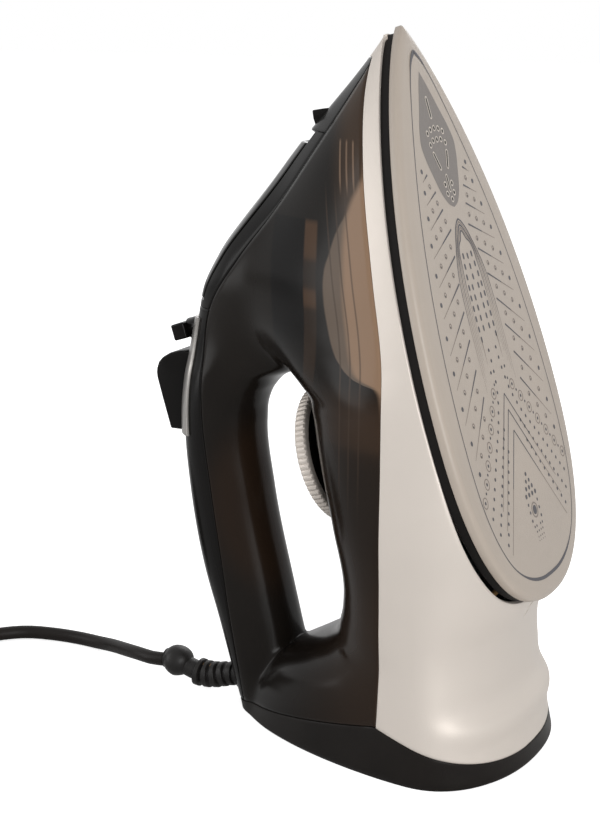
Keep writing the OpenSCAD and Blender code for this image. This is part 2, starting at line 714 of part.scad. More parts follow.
module thermostat() {
    color([0.85, 0.85, 0.82])
        over_sole()
            translate([dial_q, 0, cover_top])
                difference() {
                    translate([-12, -8, 0])
                        cube([24, 16, thermostat_h]);
                    translate([0, 0, thermostat_h - 5])
                        cylinder(r = shaft_r + 0.05, h = 6);
                }
}
module thermostat_shaft() {
    color("silver")
        over_sole()
            translate([dial_q, 0, cover_top + thermostat_h - 4.5])
                cylinder(r = shaft_r, h = dial_seat + dial_floor + cap_bore - gap / 2 - cover_top - thermostat_h + 4.5);
}
module thermal_fuse() {
    color([0.9, 0.9, 0.88])
        over_sole()
            translate([dial_q - 28, 0, cover_top + 2.5])
                rotate([0, 90, 0]) {
                    cylinder(r = 2.2, h = 12);
                    translate([0, 0, -2])
                        cylinder(r = 0.5, h = 17);
                }
}
knurls = 60;
module thermostat_dial() {
    color([0.8, 0.8, 0.8])
        over_sole()
            translate([dial_q, 0, dial_seat])
                difference() {
                    linear_extrude(dial_h)
                        polygon([for (i = [0:2 * knurls - 1])
                            let(r = dial_r - 0.5 * (i % 2)) r * [cos(180 * i / knurls), sin(180 * i / knurls)]]);
                    translate([0, 0, dial_floor])
                        cylinder(r = dial_r - 3.5, h = dial_h);
                    translate([0, 0, -1])
                        cylinder(r = shaft_r, h = dial_h + 2);
                }
}
module dial_cap() {
    color([0.05, 0.05, 0.05])
        over_sole()
            translate([dial_q, 0, dial_seat + dial_floor])
                difference() {
                    cylinder(r = dial_r - 3.5, h = dial_h - dial_floor - cap_drop);
                    translate([0, 0, -1])
                        cylinder(r = shaft_r, h = cap_bore + 1);
                    translate([dial_r - 9, -0.6, dial_h - dial_floor - 2 * cap_drop])
                        cube([4, 1.2, 2]);
                }
}

/* ---- wiring and cord ---- */

exit_z = 10.2;
exit_x = back_x(exit_z);
boot_len = 34;
neck_r = 5;
bush_len = 5;
ball_x = exit_x * k - boot_len;
module cord_hole() {
    translate([exit_x * k - 4, 0, exit_z])
        rotate([0, 90, 0])
            cylinder(r = neck_r + 1.3, h = 12);
}
module cord_bushing() {
    color([0.08, 0.08, 0.08])
        translate([exit_x * k - 1, 0, exit_z])
            rotate([0, 90, 0])
                difference() {
                    cylinder(r = neck_r + 1.2, h = bush_len + 1);
                    translate([0, 0, -1])
                        cylinder(r = neck_r + 0.05, h = bush_len + 3);
                }
}
rib_count = 5;
module cord_boot() {
    color([0.06, 0.06, 0.06])
        translate([ball_x, 0, exit_z])
            rotate([0, 90, 0])
                difference() {
                    union() {
                        sphere(r = ball_r);
                        cylinder(r = neck_r - 0.6, h = boot_len);
                        for (i = [0:rib_count - 1])
                            translate([0, 0, 8.5 + 4 * i])
                                cylinder(r = ball_r - 0.8 - 0.3 * i, h = 2.8);
                        translate([0, 0, boot_len - 2])
                            cylinder(r = neck_r, h = 2 + bush_len + 2);
                        translate([0, 0, boot_len + bush_len + 0.3])
                            cylinder(r = neck_r + 1.6, h = 1.6);
                    }
                    translate([0, 0, -ball_r - 1])
                        cylinder(r = cord_r + 0.08, h = ball_r + 3);
                    translate([0, 0, 1])
                        cylinder(r = 2, h = boot_len + 20);
                }
}
clamp_x = -50;
clamp_screw_y = 6.2;
module cord_clamp() {
    color([0.1, 0.1, 0.1])
        translate([clamp_x * k, 0, heel_floor])
            difference() {
                translate([-4, -9, 0])
                    cube([8, 18, exit_z + 4 - heel_floor]);
                for (s = [-1, 1])
                    translate([0, s * clamp_screw_y, -1])
                        cylinder(r = screw_r, h = 7);
                translate([-5, 0, exit_z - heel_floor])
                    rotate([0, 90, 0])
                        cylinder(r = 2.05, h = 12);
            }
}
terminal_x = -15;
terminal_top = 12;
module terminal_block() {
    color([0.9, 0.88, 0.8])
        translate([terminal_x * k, -11, heel_floor])
            difference() {
                cube([14, 22, terminal_top - heel_floor]);
                for (y = [4, 11, 18])
                    translate([7, y, 3])
                        cylinder(r = 1.6, h = 20);
            }
}
module inner_wires() {
    color([0.5, 0.3, 0.1]) {
        bent_tube([[exit_x * k - boot_len + 2, 0, exit_z], [exit_x * k, 0, exit_z], [clamp_x * k, 0, exit_z],
            [(terminal_x - 5) * k, 0, 8.5], [terminal_x * k - 0.1, 0, 8]], 1.9);
        for (s = [-1, 1])
            bent_tube([[terminal_x * k + 14.1, s * 7, 8], [(terminal_x + 24) * k, s * 10, 10],
                [20 * k, s * 20, 28], [38 * k, s * element_y, 55 * k],
                lift(11.3 * k, casting_top - element_r + 1) + [0, s * element_y, 0]], 1.1);
    }
}

// Cord, from the boot down to the table and away along it, then coiled
cord_r = cord_d / 2;
coil_centre = [-267, 0];
coil_mid_r = 35;
coil_half = 11.4;         // radius of the coil's bundle
tie_wall = 0.6;
cord_points = [[ball_x - ball_r + 2, 0, exit_z], [-118, 0, 9.6], [-128, 3, 9], [-138, 8, 7.4], [-149, 14, 5.4],
    [-160, 18, 3.8], [-172, 20, 3.2], [-186, 19, 3.2], [-200, 15, 3.2], [-210, 6, 3.2], [-217, -7, 3.2],
    [-224, -20, 3.2], [-235, -31.5, 3.3], [-250, -38.5, 4.3], [-267, -40.8, 6.2]];
module cord() {
    color([0.05, 0.05, 0.05])
        bent_tube(cord_points, cord_r, 3, 8);
}
module cord_coil() {
    color([0.05, 0.05, 0.05])
        translate([coil_centre[0], coil_centre[1], coil_half + tie_wall])
            rotate_extrude()
                translate([coil_mid_r, 0])
                    circle(coil_half);
}
module coil_tie() {
    color([0.1, 0.1, 0.1])
        translate([coil_centre[0], coil_centre[1] + coil_mid_r, coil_half + tie_wall])
            rotate([0, 90, 0])
                difference() {
                    cylinder(r = coil_half + tie_wall, h = 5, center = true);
                    cylinder(r = coil_half + 0.05, h = 6, center = true);
                }
}
plug_at = [-332, 40, 18.6];
module plug_body() {
    color([0.05, 0.05, 0.05])
        translate(plug_at)
            rotate([-90, 0, 0])
                union() {
                    cylinder(r = 18.5, h = 16);
                    translate([0, 0, -14])
                        cylinder(r = 12, h = 15);
                    translate([0, 0, -30])
                        cylinder(r1 = 4.5, r2 = 6.5, h = 17);
                }
}
module plug_pins() {
    color("silver")
        for (s = [-1, 1])
            translate(plug_at + [s * 9.5, 16, 0])
                rotate([-90, 0, 0])
                    cylinder(r = 2.4, h = 19);
}

soleplate();
heating_element();
chamber_cover();
sole_gasket();
tank_floor();
drip_valve();
steam_rod();
thermostat();
thermostat_shaft();
thermal_fuse();
terminal_block();
inner_wires();
skirt();
body_shell();
heel_cover();
handle_cover();
control_plate();
steam_lever();
spray_button();
burst_button();
spray_spring();
burst_spring();
spray_pump();
burst_pump();
spray_tube();
burst_tube();
spray_nozzle();
nose_cap();
front_bezel();
fill_lid();
lid_pin();
lid_seal();
thermostat_dial();
dial_cap();
cord_bushing();
cord_boot();
cord_clamp();
cord();
cord_coil();
coil_tie();
plug_body();
plug_pins();
frame_screws();
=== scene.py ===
# %% [markdown]
# A steam iron standing on its heel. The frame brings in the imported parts: where each piece is, how
# big it is and what turns. This lesson dresses them. Outer shells are worked out again as smooth
# surfaces, the soleplate gets its coating and its pattern, and every part gets a finish.
# Lengths are thought out in millimetres and handed to Blender in metres.

# %% Load the frame
import bpy, bmesh, math, json
import numpy as np
from mathutils import Matrix, Vector


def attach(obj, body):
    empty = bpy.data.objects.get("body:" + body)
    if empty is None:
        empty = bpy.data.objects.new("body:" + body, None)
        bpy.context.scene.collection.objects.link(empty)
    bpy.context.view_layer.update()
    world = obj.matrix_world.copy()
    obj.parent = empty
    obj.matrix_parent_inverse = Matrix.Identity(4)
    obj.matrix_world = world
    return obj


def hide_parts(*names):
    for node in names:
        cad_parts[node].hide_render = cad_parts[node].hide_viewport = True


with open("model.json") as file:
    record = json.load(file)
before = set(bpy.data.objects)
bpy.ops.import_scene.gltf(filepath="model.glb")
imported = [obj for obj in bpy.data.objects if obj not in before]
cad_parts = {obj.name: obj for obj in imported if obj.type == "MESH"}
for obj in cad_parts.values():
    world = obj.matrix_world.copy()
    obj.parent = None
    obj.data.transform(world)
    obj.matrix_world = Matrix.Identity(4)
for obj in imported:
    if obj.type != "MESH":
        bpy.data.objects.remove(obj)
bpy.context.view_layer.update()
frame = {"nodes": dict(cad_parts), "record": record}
MM = 0.001
print("parts in the frame:", len(frame["nodes"]))

# %% [markdown]
# The camera stands a little to the right of the iron and a little above it, far enough back for a
# long lens. It comes first, because the cord has to lie where this view ends.

# %% Camera
def aim_camera(place, turn, drop, lens):
    """Looks along (-sin turn cos drop, cos turn cos drop, -sin drop) with the horizon level."""
    a, e = math.radians(turn), math.radians(drop)
    ahead = Vector((-math.sin(a) * math.cos(e), math.cos(a) * math.cos(e), -math.sin(e)))
    right = ahead.cross(Vector((0, 0, 1))).normalized()
    up = right.cross(ahead)
    data = bpy.data.cameras.new("camera")
    data.lens, data.sensor_width, data.sensor_fit = lens, 36, "HORIZONTAL"
    data.clip_start, data.clip_end = 0.02, 20
    cam = bpy.data.objects.new("camera", data)
    m = Matrix((right, up, -ahead)).transposed().to_4x4()
    m.translation = Vector(place) * MM
    cam.matrix_world = m
    bpy.context.scene.collection.objects.link(cam)
    bpy.context.scene.camera = cam
    return cam

camera = aim_camera((290.5, -654.6, 309.0), 27.04, 13.33, 108)
bpy.context.scene.view_settings.view_transform = "Standard"
print("camera at", tuple(round(v, 3) for v in camera.location))

# %% [markdown]
# Every surface below ends as a grid or a stack of closed rings of points, so two small helpers do
# all the mesh making. They take whole arrays and never walk over single points.

# %% Mesh helpers
def mesh_piece(name, points, quads, smooth=True, angle=None):
    """One object from an array of points in millimetres and an array of faces."""
    me = bpy.data.meshes.new(name)
    me.from_pydata((np.asarray(points, float) * MM).reshape(-1, 3).tolist(), [], np.asarray(quads).tolist())
    me.update()
    me.polygons.foreach_set("use_smooth", [smooth] * len(me.polygons))
    if angle is not None:
        me.set_sharp_from_angle(angle=math.radians(angle))
    ob = bpy.data.objects.new(name, me)
    bpy.context.scene.collection.objects.link(ob)
    return ob

def ring_quads(n, m, loop):
    """Faces between n rings of m points; rings are closed, and the stack closes too if loop is true."""
    i, j = np.meshgrid(np.arange(n if loop else n - 1), np.arange(m), indexing="ij")
    a, b = i * m + j, i * m + (j + 1) % m
    c, d = ((i + 1) % n) * m + (j + 1) % m, ((i + 1) % n) * m + j
    return np.stack([a, b, c, d], -1).reshape(-1, 4)

def ring_piece(name, rings, loop=False, angle=35):
    """A closed solid from rings (n, m, 3). Open ends are closed with strips between point j and m-1-j."""
    rings = np.asarray(rings, float)
    n, m = rings.shape[:2]
    quads = ring_quads(n, m, loop)
    if not loop:
        j = np.arange(m // 2 - 1)
        cap = np.stack([j, m - 1 - j, m - 2 - j, j + 1], -1)
        quads = np.concatenate([quads, cap, cap[:, ::-1] + (n - 1) * m])
    ob = mesh_piece(name, rings, quads)
    bm = bmesh.new()
    bm.from_mesh(ob.data)
    bmesh.ops.remove_doubles(bm, verts=bm.verts, dist=1e-6)
    bmesh.ops.dissolve_degenerate(bm, dist=1e-7, edges=bm.edges)
    if bm.calc_volume(signed=True) < 0:
        bmesh.ops.reverse_faces(bm, faces=bm.faces)
    bm.to_mesh(ob.data)
    bm.free()
    ob.data.polygons.foreach_set("use_smooth", [True] * len(ob.data.polygons))
    ob.data.set_sharp_from_angle(angle=math.radians(angle))
    return ob

# %% [markdown]
# The body of an iron is easiest to state from the side. For each place (x, z) of the side view a
# number F gives the square of the half width there: the wide body and the slim handle each have
# their own F, and a soft maximum joins them the way a moulded fillet does. The tables hold the side
# profile: [height, x].

# %% Profiles
BACK = [[0, -68], [20, -74.5], [40, -80.5], [60, -87], [97, -94], [126, -96], [141, -95],
        [156, -92.5], [171, -88.5], [186, -83.5], [198, -76], [219, -60.5], [238, -46], [261, -26],
        [281, -10.5], [292, -3]]
GRIP = [[0, -36], [20, -41], [54, -49], [97, -58.5], [126, -62], [135, -61], [142, -57.5],
        [148, -51], [152, -42], [160, -28], [200, -29], [229, -10], [257, 2], [292, 5]]
CROWN = [[0, -66], [20, -57], [30, -48], [38, -34], [45, -22], [57, -15], [70, -12], [98, -16],
         [130, -25.4], [142, -28.8], [148, -31.5], [153, -38], [158, -45], [166, -54], [176, -62],
         [188, -67], [199, -66.5], [212, -60.5], [238, -45], [261, -26], [281, -10.5], [292, -3]]
REAR = [[0, 66], [14, 63], [24, 63.5], [29, 59.5], [40, 57], [55, 57], [68, 62.6], [90, 70],
        [150, 90], [300, 140]]
WIDTH = [[0, 54], [44, 54], [80, 57], [100, 59.5], [145, 60]]
ARCH = [[0, 1.4], [45, 1.9], [60, 2.4], [130, 2.4], [148, 2.1], [162, 1.5], [176, 1.25], [200, 1.25],
        [292, 1.3]]
FALL = [[0, 1], [45, 0.9], [60, 0.84], [130, 0.84], [150, 0.93], [180, 1.1], [292, 1.1]]
MELT = [[0, 120], [140, 120], [165, 420], [200, 420], [232, 120], [256, 100], [272, 40], [284, 12],
        [292, 8]]
SLIM = [[0, 1.03], [40, 1.02], [60, 1], [186, 1], [200, 0.97], [229, 0.82], [257, 0.55],
        [284, 0.22], [292, 0.12]]
SEAM = [[0, 15], [60, 18], [130, 20.5], [170, 19], [200, 12.5], [240, 1], [270, -7], [284, -9.4]]
STRIP = [[0, -62.5], [15, -65], [41, -69.5], [67, -73.5], [97, -78], [131, -82], [153, -82],
         [175, -79], [199, -62], [219, -46], [246, -27], [271, -12], [292, -2]]
TILT = math.radians(17.3)
ST, CT = math.sin(TILT), math.cos(TILT)
SOLE = np.array([70, 0, 70.6])      # rear end of the soleplate's face
RIM, SOLE_LEN, WIDEST, MIDDLE, WALL = 7.5, 232, 80, 32, 2.2

def curve(table, t):
    """Cubic pieces through the table's points; each point's slope weighs the two beside it."""
    x, v = np.array(table, float).T
    h = np.diff(x)
    d = np.diff(v) / h
    m = np.concatenate([d[:1], (d[:-1] * h[1:] + d[1:] * h[:-1]) / (h[1:] + h[:-1]), d[-1:]])
    t = np.clip(t, x[0], x[-1])
    i = np.clip(np.searchsorted(x, t, side="right") - 1, 0, len(h) - 1)
    u = (t - x[i]) / h[i]
    return ((2*u**3 - 3*u**2 + 1) * v[i] + (u**3 - 2*u**2 + u) * h[i] * m[i]
            + (3*u**2 - 2*u**3) * v[i + 1] + (u**3 - u**2) * h[i] * m[i + 1])

def spow(a, e):
    return np.sign(a) * np.abs(a) ** e

def outline(q):
    """Half width of the soleplate at q from its rear: a rounded rear end and a pointed front."""
    f = np.clip((q - WIDEST) / (SOLE_LEN - WIDEST), 0, 1)
    g = np.clip((WIDEST - q) / WIDEST, 0, 1)
    r = np.where(q > WIDEST, 60 * (1 - f**2) ** 0.85, 60 * (1 - g**2.3) ** (1 / 2.3))
    return np.where((q <= 0) | (q >= SOLE_LEN), 0, r)

def rim_x(z):
    return SOLE[0] - RIM / CT - (z - SOLE[2]) * ST / CT

def fullness(x, z):
    """Half width squared at (x, z): wide body and handle band under a soft maximum."""
    w = np.where(z > 145, outline(np.minimum((z - SOLE[2] + RIM * ST) / CT, SOLE_LEN - 0.1)),
                 curve(WIDTH, z))
    m, c, r = np.minimum(MIDDLE, rim_x(z)), curve(CROWN, z), curve(REAR, z)
    front = spow(1 - (np.maximum(m - x, 0) / np.maximum(m - c, 0.5)) ** curve(ARCH, z), curve(FALL, z))
    rear = spow(1 - (np.maximum(x - m, 0) / np.maximum(r - m, 1)) ** 2.2, 2 / 2.2)
    a = w**2 * np.where(x < m, front, rear)
    o, i = curve(BACK, z), curve(GRIP, z)
    b = (curve(SLIM, z) * 16.5) ** 2 * spow(1 - np.abs((2 * x - o - i) / (i - o)) ** 2.5, 0.85)
    return (a + b + np.sqrt((a - b) ** 2 + curve(MELT, z) ** 2)) / 2

def skin(x, z, side, depth=0.0):
    """The surface point over (x, z), moved a depth along the inward slope of F - y squared."""
    x, z, side, depth = np.broadcast_arrays(*[np.asarray(v, float) for v in (x, z, side, depth)])
    y = side * np.sqrt(np.maximum(fullness(x, z), 0))
    d = 0.2
    g = np.stack([(fullness(x + d, z) - fullness(x - d, z)) / (2 * d), -2 * y,
                  (fullness(x, z + d) - fullness(x, z - d)) / (2 * d)], -1)
    g /= np.linalg.norm(g, axis=-1, keepdims=True)
    return np.stack([x, y, z], -1) + depth[..., None] * g

def halve(inside, a, b, steps=30):
    """The place between points a (inside) and b (outside) where inside() turns false, by halving."""
    a, b = np.array(a, float), np.array(b, float)
    for _ in range(steps):
        m = (a + b) / 2
        t = inside(m)[..., None]
        a, b = np.where(t, m, a), np.where(t, b, m)
    return (a + b) / 2

def filled(p):
    return fullness(p[..., 0], p[..., 1]) > 0

def back_x(z):
    z = np.asarray(z, float)
    a = np.stack([curve(BACK, z) + 4, z], -1)
    b = np.stack([curve(BACK, z) - 6, z], -1)
    return halve(filled, a, b)[..., 0]

print("half width at mid height:", round(float(np.sqrt(fullness(np.array(20.0), np.array(120.0)))), 1),
      "mm")

# %% [markdown]
# The smoky shell is one moulding that wraps the water tank and runs on as both sides of the handle.
# Seen from the side it is a ring round the finger opening, so rays from the middle of the opening
# give it: each ray enters at the opening's edge and leaves at a seam. A section along a ray is a
# thin C, and the C sections close up into a loop.

# %% Smoky body shell
EYE = np.array([-40.0, 95.0])
TIP_Z = 280.0
SEAM_GAP = 0.22

def heel_top(x):
    return 22 - np.abs(x - 15) * np.where(x < 15, 0.22, 0.31)

def strip_x(z):
    """Edge of the black strip; near the tip it gives way to the skirt's seam."""
    return np.minimum(curve(STRIP, z), curve(SEAM, z) - 0.4)

def smoky(p):
    """True where the side view belongs to the smoky shell."""
    x, z = p[..., 0], p[..., 1]
    return ((x < curve(SEAM, z) - SEAM_GAP) & (z > heel_top(x) + SEAM_GAP)
            & (x > strip_x(z) + SEAM_GAP) & (z < TIP_Z - SEAM_GAP))

def ray_ends(angles):
    """First point of the shell along each ray, and the last one before it reaches a seam."""
    d = np.stack([np.cos(angles), np.sin(angles)], -1)
    r = np.arange(6, 260, 0.5)
    p = EYE + r[None, :, None] * d[:, None, :]
    first = np.argmax(filled(p), axis=1)
    k = np.arange(len(angles))
    start = halve(filled, p[k, first], p[k, first - 1])
    inside = smoky(p) | (np.arange(len(r))[None] <= first[:, None] + 2)
    last = np.argmax(~inside, axis=1)
    end = halve(smoky, p[k, last - 1], p[k, last])
    return start, end

def even_angles(n):
    """Angles that space the ends of the rays evenly."""
    a = np.linspace(0, 2 * np.pi, 2401)
    s, e = ray_ends(a)
    step = np.linalg.norm(np.diff(e, axis=0), axis=1) + 0.7 * np.linalg.norm(np.diff(s, axis=0), axis=1)
    at = np.concatenate([[0], np.cumsum(np.minimum(step, 6))])
    return np.interp(np.linspace(0, at[-1], n, endpoint=False), at, a)

def sheet_rings(start, end, steps, lip=0.35, wall=WALL):
    """C sections between two lines in the side view: outer surface, rounded lips, inner surface."""
    u = np.linspace(0, 1, steps)
    u = np.concatenate([0.6 * u**2 + 0.4 * u**1.25, [0.994, 0.998]])
    u.sort()
    gap = np.linalg.norm(end - start, axis=-1)[:, None]
    depth = lip * np.clip(1 - (1 - u[None]) * gap / 0.7, 0, 1) ** 2
    q = start[:, None] + u[None, :, None] * (end - start)[:, None]
    x, z = q[..., 0], q[..., 1]
    near, far = skin(x, z, -1, depth), skin(x, z, 1, depth)
    near_in, far_in = skin(x, z, -1, wall), skin(x, z, 1, wall)
    return np.concatenate([near[:, ::-1], far[:, 1:], far_in[:, ::-1], near_in[:, 1:]], axis=1)

body_angles = even_angles(460)
body_start, body_end = ray_ends(body_angles)
body_shell = ring_piece("body_shell_skin", sheet_rings(body_start, body_end, 40), loop=True, angle=50)
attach(body_shell, "iron")
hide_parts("body_shell")
print("smoky shell:", len(body_shell.data.polygons), "faces")

# %% [markdown]
# The silver skirt fills the space between the smoky shell's seam and the rim beside the soleplate.
# Columns run from seam to rim all the way round, from the middle of the heel to the tip, and each
# column is measured as a share of the half depth there, so the columns follow the curved heel wall.

# %% Silver skirt
TURN = 0.3                              # share of the seam at which the heel's part ends
OVER = 0.05                             # the share past 1 carries the columns over the tip to the spine

def across(x, z):
    return (x - MIDDLE) / (curve(REAR, z) - MIDDLE)

def ease(q):
    u = np.clip((q - TURN) / (1 - TURN), 0, 1)
    return 0.45 * u + 0.55 * np.sin(np.pi / 2 * u)

def skirt_places(q, w):
    """Side view place of the skirt at share q along the seam and share w from seam to rim."""
    q, w = np.broadcast_arrays(q, w)
    early = np.clip(q / TURN, 0, 1)
    xs = 15 + (curve(REAR, 8.0) - 15) * np.cos(np.pi / 2 * early) ** 0.9
    zs = 22 + (TIP_Z - 22) * ease(q)
    seam_x, seam_z = np.where(q <= TURN, xs, curve(SEAM, zs)), np.where(q <= TURN, heel_top(xs), zs)
    z0 = SOLE[2] - RIM * ST
    rim_z = np.where(q <= TURN, 102 + (z0 - 102) * np.cos(np.pi / 2 * early), 102 + (288.3 - 102) * ease(q))
    z = seam_z + (rim_z - seam_z) * w
    a, b = across(seam_x, seam_z), across(rim_x(rim_z), rim_z)
    x = MIDDLE + (a + (b - a) * w) * (curve(REAR, z) - MIDDLE)
    over = 1 - (1 - np.clip((q - 1) / OVER, 0, 1)) ** 2
    x = np.where(q <= 0, curve(REAR, z), x + over * (back_x(z) - x))
    return x, z

def skirt_rings(cols, rows):
    q = np.concatenate([np.linspace(0, 1, cols), 1 + OVER * np.linspace(0, 1, 9)[1:]])
    w = np.linspace(0, 1, rows)
    w = np.concatenate([[0], [0.004, 0.01], w[1:-1], [0.99, 0.996], [1]])
    x, z = skirt_places(q[:, None], w[None])
    span = 60.0
    lip = 0.4 * np.clip(1 - np.minimum(w, 1 - w) * span / 0.8, 0, 1) ** 2
    wall = np.minimum(WALL, 0.5 + 0.4 * np.sqrt(np.maximum(fullness(x, z), 0)))
    def side(s):
        s = np.where((q <= 0) | (q >= 1 + OVER), 0, s)[:, None]
        return np.concatenate([skin(x, z, s, lip[None]), skin(x, z, s, wall)[:, ::-1]], axis=1)
    right, left = side(1.0), side(-1.0)
    return np.concatenate([right, left[-2:0:-1]])

skirt = ring_piece("skirt_skin", skirt_rings(230, 46), loop=True, angle=50)
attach(skirt, "iron")
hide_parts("skirt")
print("skirt:", len(skirt.data.polygons), "faces")

# %% [markdown]
# The heel cover is the black bowl that the iron stands on: rings from its flat face, round a small
# radius and up to the seam, then down again inside.

# %% Heel cover
def heel_ring(cols, share, depth, flat=None):
    """One level ring; share 1 is the seam and 0 the table. g runs from the handle's end to the rear."""
    a = np.linspace(0, 2 * np.pi, cols, endpoint=False)
    g = (1 - np.cos(a)) / 2
    def span(z):
        lo = back_x(z)
        p = np.stack([curve(REAR, z) - 4, z], -1)
        o = np.stack([curve(REAR, z) + 4, z], -1)
        return lo, halve(filled, p, o)[..., 0]
    def at(z):
        lo, hi = span(z)
        return lo + (hi - lo) * g
    edge = heel_top(at(np.full(cols, 10.0)))
    edge = np.maximum(heel_top(at(np.maximum(edge, 1))), 3.4)
    z = edge * share
    side = np.where(np.abs(np.sin(a)) < 1e-6, 0, np.sign(np.sin(a)))
    p = skin(at(z), z, side, depth)
    if flat is not None:
        p[:, 2] = flat
    return p

heel_rings = [heel_ring(260, 0, 1.6, 0.0), heel_ring(260, 0.02, 0.9, 0.12), heel_ring(260, 0.05, 0.4),
              heel_ring(260, 0.1, 0.1)]
heel_rings += [heel_ring(260, s, 0) for s in (0.16, 0.3, 0.45, 0.6, 0.75, 0.9, 0.965)]
heel_rings += [heel_ring(260, 0.99, 0.12), heel_ring(260, 1, 0.4), heel_ring(260, 1, WALL),
               heel_ring(260, 0.5, WALL, 3.0)]
heel_cover = ring_piece("heel_cover_skin", heel_rings, angle=40)
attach(heel_cover, "iron")
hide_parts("heel_cover")
print("heel cover:", len(heel_cover.data.polygons), "faces")

# %% [markdown]
# Four slim pieces sit on the back of the iron one above another: the handle's black strip, the thin
# silver plate under the controls, the bezel with the fill lid in it, and the nose cap. Each is a
# patch of the same skin between two heights, from one strip edge over the middle to the other.

# %% Strips along the back
def strip_rings(z0, z1, rows, reach=1.0, top=0.0, under=WALL, steps=26, lip=0.3):
    """Level C sections; reach is the share of the strip's width, top and under are depths."""
    z = np.linspace(z0, z1, rows)
    z = np.concatenate([[z0, z0 + 0.15, z0 + 0.4], z[1:-1], [z1 - 0.4, z1 - 0.15, z1]])
    g = np.linspace(-1, 1, 2 * steps + 1)
    g = np.concatenate([[-1, -0.995, -0.985], g[1:-1], [0.985, 0.995, 1]])
    b, e = back_x(z)[:, None], strip_x(z)[:, None]
    e = b + (e - b) * reach
    x = b + (e - b) * g[None] ** 2
    side = np.where(g < 0, -1.0, 1.0)[None]
    near_end = np.clip(1 - np.minimum(z - z0, z1 - z)[:, None] / 0.5, 0, 1) ** 2
    near_side = np.clip(1 - (1 - np.abs(g))[None] / 0.018, 0, 1) ** 2
    d = top + lip * np.minimum(near_end + near_side, 1)
    zz = np.broadcast_to(z[:, None], x.shape)
    out, inn = skin(x, zz, side, d), skin(x, zz, side, under)
    return np.concatenate([out, inn[:, ::-1]], axis=1)

def settle(ob):
    """Bakes an object's modifiers into its mesh."""
    deps = bpy.context.evaluated_depsgraph_get()
    me = bpy.data.meshes.new_from_object(ob.evaluated_get(deps))
    ob.modifiers.clear()
    ob.data = me
    return ob

def carve(ob, cutters):
    """Takes closed cutter pieces away from a piece."""
    for c in cutters:
        m = ob.modifiers.new("cut", "BOOLEAN")
        m.operation, m.object, m.solver = "DIFFERENCE", c, "EXACT"
        settle(ob)
        bpy.data.objects.remove(c)
    ob.data.set_sharp_from_angle(angle=math.radians(35))
    return ob

def block(name, lo, hi):
    """A box between two corners, in millimetres."""
    lo, hi = np.array(lo, float), np.array(hi, float)
    c = np.array([[0, 0, 0], [1, 0, 0], [1, 1, 0], [0, 1, 0], [0, 0, 1], [1, 0, 1], [1, 1, 1], [0, 1, 1]])
    f = [[0, 3, 2, 1], [4, 5, 6, 7], [0, 1, 5, 4], [1, 2, 6, 5], [2, 3, 7, 6], [3, 0, 4, 7]]
    return mesh_piece(name, lo + c * (hi - lo), f, smooth=False)

def lathe(name, profile, at, axis, sides=96, angle=35):
    """A profile of [radius, distance along the axis] turned about a line through a point."""
    p = np.array(profile, float)
    axis = np.array(axis, float) / np.linalg.norm(axis)
    u = np.cross(axis, [0, 1, 0] if abs(axis[1]) < 0.9 else [1, 0, 0])
    u /= np.linalg.norm(u)
    v = np.cross(axis, u)
    a = np.linspace(0, 2 * np.pi, sides, endpoint=False)
    ring = np.cos(a)[:, None] * u + np.sin(a)[:, None] * v
    pts = np.array(at, float) + p[:, None, :1] * ring[None] + p[:, None, 1:2] * axis
    return ring_piece(name, pts, angle=angle)

def button_gap():
    return block("gap", (-110, -9.7, 120.6), (-84, 9.7, 155.9))

NORMAL = np.array([CT, 0, ST])          # out of the soleplate's face
ALONG = np.array([-ST, 0, CT])          # along the soleplate, towards the tip
def over_sole(q, y, h):
    """A point q along the soleplate, y across it and h into the iron."""
    q, y, h = np.broadcast_arrays(*[np.asarray(v, float) for v in (q, y, h)])
    return SOLE + q[..., None] * ALONG + y[..., None] * np.array([0, 1, 0]) - h[..., None] * NORMAL

LEVER = np.array([float(back_x(165.5)), 0, 165.5])
def lever_gap():
    return lathe("gap", [[5, -8], [5, 14]], LEVER, NORMAL, 64)

handle_cover = ring_piece("handle_cover_skin", strip_rings(5.3, 175.6, 110))
carve(handle_cover, [button_gap(), lever_gap(), lathe("gap", [[6.3, -6], [6.3, 10]],
    (float(back_x(10.2)), 0, 10.2), (1, 0, 0), 64)])
control_plate = ring_piece("control_plate_skin", strip_rings(120.2, 170.8, 60, reach=0.47, top=-1.5,
    under=-0.08, lip=0.35))
carve(control_plate, [button_gap(), lever_gap()])
nose_cap = ring_piece("nose_cap_skin", strip_rings(250.9, TIP_Z - 0.2, 30))
for ob, node, slot in ((handle_cover, "handle_cover", "black_gloss"),
                       (control_plate, "control_plate", "silver_trim"),
                       (nose_cap, "nose_cap", "black_gloss")):
    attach(ob, "iron")
    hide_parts(node)
    print(ob.name, len(ob.data.polygons), "faces")

